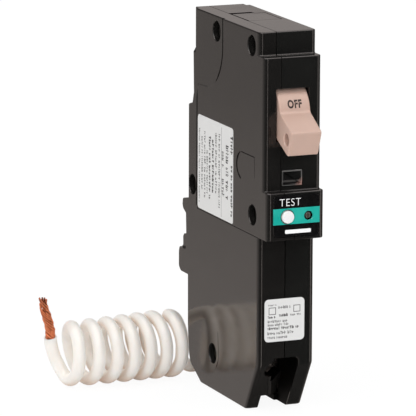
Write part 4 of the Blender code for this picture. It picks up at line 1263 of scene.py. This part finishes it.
# ================================================================ terminal screws
def terminal_screw(name, centre, body, replaced):
    """Cross-slotted head to the front and a threaded shank."""
    profile = [(-7.72, 0.0), (-7.74, 1.2), (-7.7, 1.7), (-7.55, 2.0), (-7.3, 2.17), (-6.9, 2.2),
               (-5.9, 2.2), (-5.75, 2.1), (-5.75, 1.5)]
    crest, root, pitch = 1.52, 1.25, 0.794
    y = -5.6
    while y < 4.6:
        profile += [(y, crest), (y + 0.2, root), (y + pitch / 2, root), (y + 0.6, crest)]
        y += pitch
    profile += [(5.2, 1.3), (5.6, 0.9), (5.6, 0.0)]
    screw = solid(name, turned(profile, centre, 'Y'))
    x, z = centre
    carve(screw, box(x - 3, x + 3, -9.5, -6.95, z - 0.35, z + 0.35),
          box(x - 0.35, x + 0.35, -9.5, -7.15, z - 1.5, z + 1.5))
    shade(screw, 30)
    # painted shade: the screw steel is near-black for the dark slot
    place(screw, body, "screw_steel_painted_shade", "steel", replaced)


terminal_screw("load_screw", SCREW_HOT, "load_screw_body", "load_terminal_screw")
terminal_screw("neutral_screw", SCREW_NEU, "neutral_screw_body", "neutral_terminal_screw")

# ===================================================== CAD pieces that keep shape
CAD_FINISHES = {
    "partition_plastic": ["inner_partition"],
    "brass_strap": ["test_contact_blade", "bimetal"],
    "flag_plastic": ["trip_flag"],
    "zinc_steel": ["trip_flag_pin", "handle_pin", "contact_arm_pin", "jaw_spring",
                   "toggle_spring", "cradle", "cradle_pin", "armature", "armature_pin",
                   "calibration_screw", "solenoid_plunger"],
    "copper_strap": ["contact_arm", "line_strap", "line_jaw", "flexible_braid", "solenoid_coil"],
    "silver_contact": ["moving_contact", "fixed_contact"],
    "fibre_sheet": ["arc_chute_liner"],
    "dark_steel": ["arc_plate_1", "arc_plate_2", "arc_plate_3", "arc_plate_4", "magnet_yoke",
                   "solenoid_frame"],
    # painted shade: near-black copper for the load straps and near-black steel for the clamps in the
    # slot
    "copper_strap_painted_shade": ["load_strap", "neutral_load_strap"],
    "clamp_steel_painted_shade": ["load_terminal_clamp", "neutral_terminal_clamp"],
    "circuit_board": ["circuit_board"],
    "sensor_ring": ["current_sensor_ring"],
    "varistor_dip": ["surge_varistor"],
    "capacitor_sleeve": ["filter_capacitor"],
    "chip_package": ["control_chip"],
}
for material, nodes in CAD_FINISHES.items():
    for node in nodes:
        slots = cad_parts[node].data.materials
        slots.clear()
        slots.append(materials[material])


# ========================================================================== stage
def studio_walls(graph, direction):
    """Brightness of the studio in gloss for a direction: unequal soft boxes, dark in front."""
    def fade(value, span, to=(0.0, 1.0)):
        return graph.remap(value, span, to, kind='SMOOTHSTEP')
    x, y, z = direction
    total = graph.times(fade(y, span=(-0.50, 0.75), to=(0.012, 0.51)),
                        fade(z, span=(0.24, 0.36), to=(1.0, 0.10)))
    ahead = fade(y, span=(-0.3, -0.5))
    # upright strips in front: (x span of rise, brightness, x span of fall, what is left)
    for rise, brightness, fall, rest in (((-0.16, -0.10), 3.2, (-0.02, 0.04), 0.0),
                                         ((0.56, 0.64), 2.4, (0.76, 0.84), 0.05)):
        strip = graph.times(fade(x, rise, to=(0.0, brightness)), fade(x, fall, to=(1.0, rest)),
                            ahead)
        total = graph.math('ADD', total, strip)
    left = fade(graph.times(x, -1.0), span=(0.60, 0.95), to=(0.0, 0.25))
    total = graph.math('ADD', total, left)
    ceiling = graph.times(fade(z, span=(0.55, 0.90), to=(0.0, 3.6)),
                          fade(y, span=(0.20, 0.45), to=(1.0, 0.08)))
    return graph.math('ADD', total, ceiling)


def floor_material():
    """Pale floor; a bright seamless sheet to the camera, the studio walls in gloss."""
    mat = Material("floor_pale")
    mat.set(Base_Color=mat.ramp(mat.noise(scale=3, detail=2),
                                [(0.3, (0.955, 0.955, 0.955)), (0.7, (0.97, 0.97, 0.968))]),
            Roughness=0.9, Specular_IOR_Level=0.0)
    rays = mat.new("ShaderNodeLightPath").outputs
    place_on_floor = mat.new("ShaderNodeNewGeometry").outputs
    incoming = mat.axes(place_on_floor["Incoming"])
    walls = studio_walls(mat, [mat.times(part, -1.0) for part in incoming])
    away = mat.new("ShaderNodeVectorMath", {0: place_on_floor["Position"]}, operation='LENGTH')
    falloff = mat.remap(away.outputs["Value"], span=(0.05, 0.55), to=(1.30, 0.80))
    glow = mat.new("ShaderNodeEmission", {"Color": (1.0, 0.89, 0.83),
                                          "Strength": mat.times(walls, falloff)})
    sheet = mat.new("ShaderNodeEmission", {"Strength": 1.03})

    def blend(amount, first, second):
        return mat.new("ShaderNodeMixShader", {0: amount, 1: first, 2: second}).outputs[0]
    pale = mat.principled.outputs[0]
    sheet_share = 0.90                       # the rest still takes a little shadow
    seamless = blend(sheet_share, pale, sheet.outputs[0])
    seen = blend(rays["Is Camera Ray"], pale, seamless)
    surface = blend(rays["Is Glossy Ray"], seen, glow.outputs[0])
    mat.feed(mat.tree.nodes["Material Output"].inputs["Surface"], surface)


def studio_floor():
    half, gap = 6.0, 0.0003                  # metres
    z = min(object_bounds()[0].z, CAD_LO.z) - gap
    mesh = bpy.data.meshes.new("floor")
    bm = bmesh.new()
    bm.faces.new([bm.verts.new((x, y, z)) for x, y in rectangle(-half, half, -half, half)])
    bm.to_mesh(mesh)
    bm.free()
    floor = link("floor", mesh)
    floor_material()
    mesh.materials.append(materials["floor_pale"])


def studio_world():
    """White to the camera, soft boxes in gloss, even light to everything else."""
    world = bpy.data.worlds.new("studio")
    world.use_nodes = True
    graph = Graph(world.node_tree)
    walls = studio_walls(graph, graph.axes(graph.new("ShaderNodeTexCoord").outputs["Generated"]))
    rays = graph.new("ShaderNodeLightPath").outputs
    even_light, camera_white = 0.80, 1.0
    strength = graph.mix(rays["Is Glossy Ray"], even_light, walls, kind='FLOAT')
    strength = graph.mix(rays["Is Camera Ray"], strength, camera_white, kind='FLOAT')
    tint = graph.mix(rays["Is Glossy Ray"], (1.0, 1.0, 1.0), (1.0, 0.90, 0.86))
    background = world.node_tree.nodes["Background"].inputs
    graph.feed(background["Color"], tint)
    graph.feed(background["Strength"], strength)
    bpy.context.scene.world = world


def direction_to(azimuth, elevation):
    """Unit vector from the product; azimuth runs from the front to the right, in radians."""
    return Vector((math.sin(azimuth) * math.cos(elevation),
                   -math.cos(azimuth) * math.cos(elevation), math.sin(elevation)))


LAMP_TARGET = Vector((0.0, -0.03, -0.013))   # metres


def lamp(name, azimuth, elevation, distance, size, power):
    """Square area light aimed at the product; degrees, metres and watts."""
    offset = direction_to(math.radians(azimuth), math.radians(elevation)) * distance
    position = LAMP_TARGET + offset
    light = bpy.data.lights.new(name, 'AREA')
    light.shape = 'RECTANGLE'
    light.size = size
    light.size_y = size
    light.energy = power
    ob = bpy.data.objects.new(name, light)
    ob.location = position
    ob.rotation_euler = (LAMP_TARGET - position).to_track_quat('-Z', 'Y').to_euler()
    bpy.context.scene.collection.objects.link(ob)


def studio_camera():
    """Long lens from the front left, a little above."""
    azimuth, elevation, roll = -0.38857692, 0.20159875, 0.0035341    # radians
    distance, shift_right, shift_up = 1377.165, -15.0232, 0.39697    # mm
    back = direction_to(azimuth, elevation)
    level_right = Vector((0, 0, 1)).cross(back).normalized()
    level_up = back.cross(level_right)
    right = math.cos(roll) * level_right + math.sin(roll) * level_up
    up = -math.sin(roll) * level_right + math.cos(roll) * level_up
    position = back * distance + right * shift_right + up * shift_up
    data = bpy.data.cameras.new("camera")
    data.sensor_width = 36.0
    data.lens = 380.769231
    data.clip_start = 0.01
    data.clip_end = 50.0
    camera = bpy.data.objects.new("camera", data)
    turn = Matrix((right, up, back)).transposed().to_4x4()
    camera.matrix_world = Matrix.Translation((position - ORIGIN) * MM) @ turn
    bpy.context.scene.collection.objects.link(camera)
    bpy.context.scene.camera = camera


studio_floor()
studio_world()
bpy.context.scene.view_settings.view_transform = 'Standard'
lamp("key", azimuth=-58, elevation=42, distance=0.9, size=0.55, power=1.5)
lamp("fill", azimuth=35, elevation=32, distance=0.9, size=0.5, power=0.6)
lamp("front", azimuth=-20, elevation=24, distance=1.0, size=0.9, power=1.5)
studio_camera()
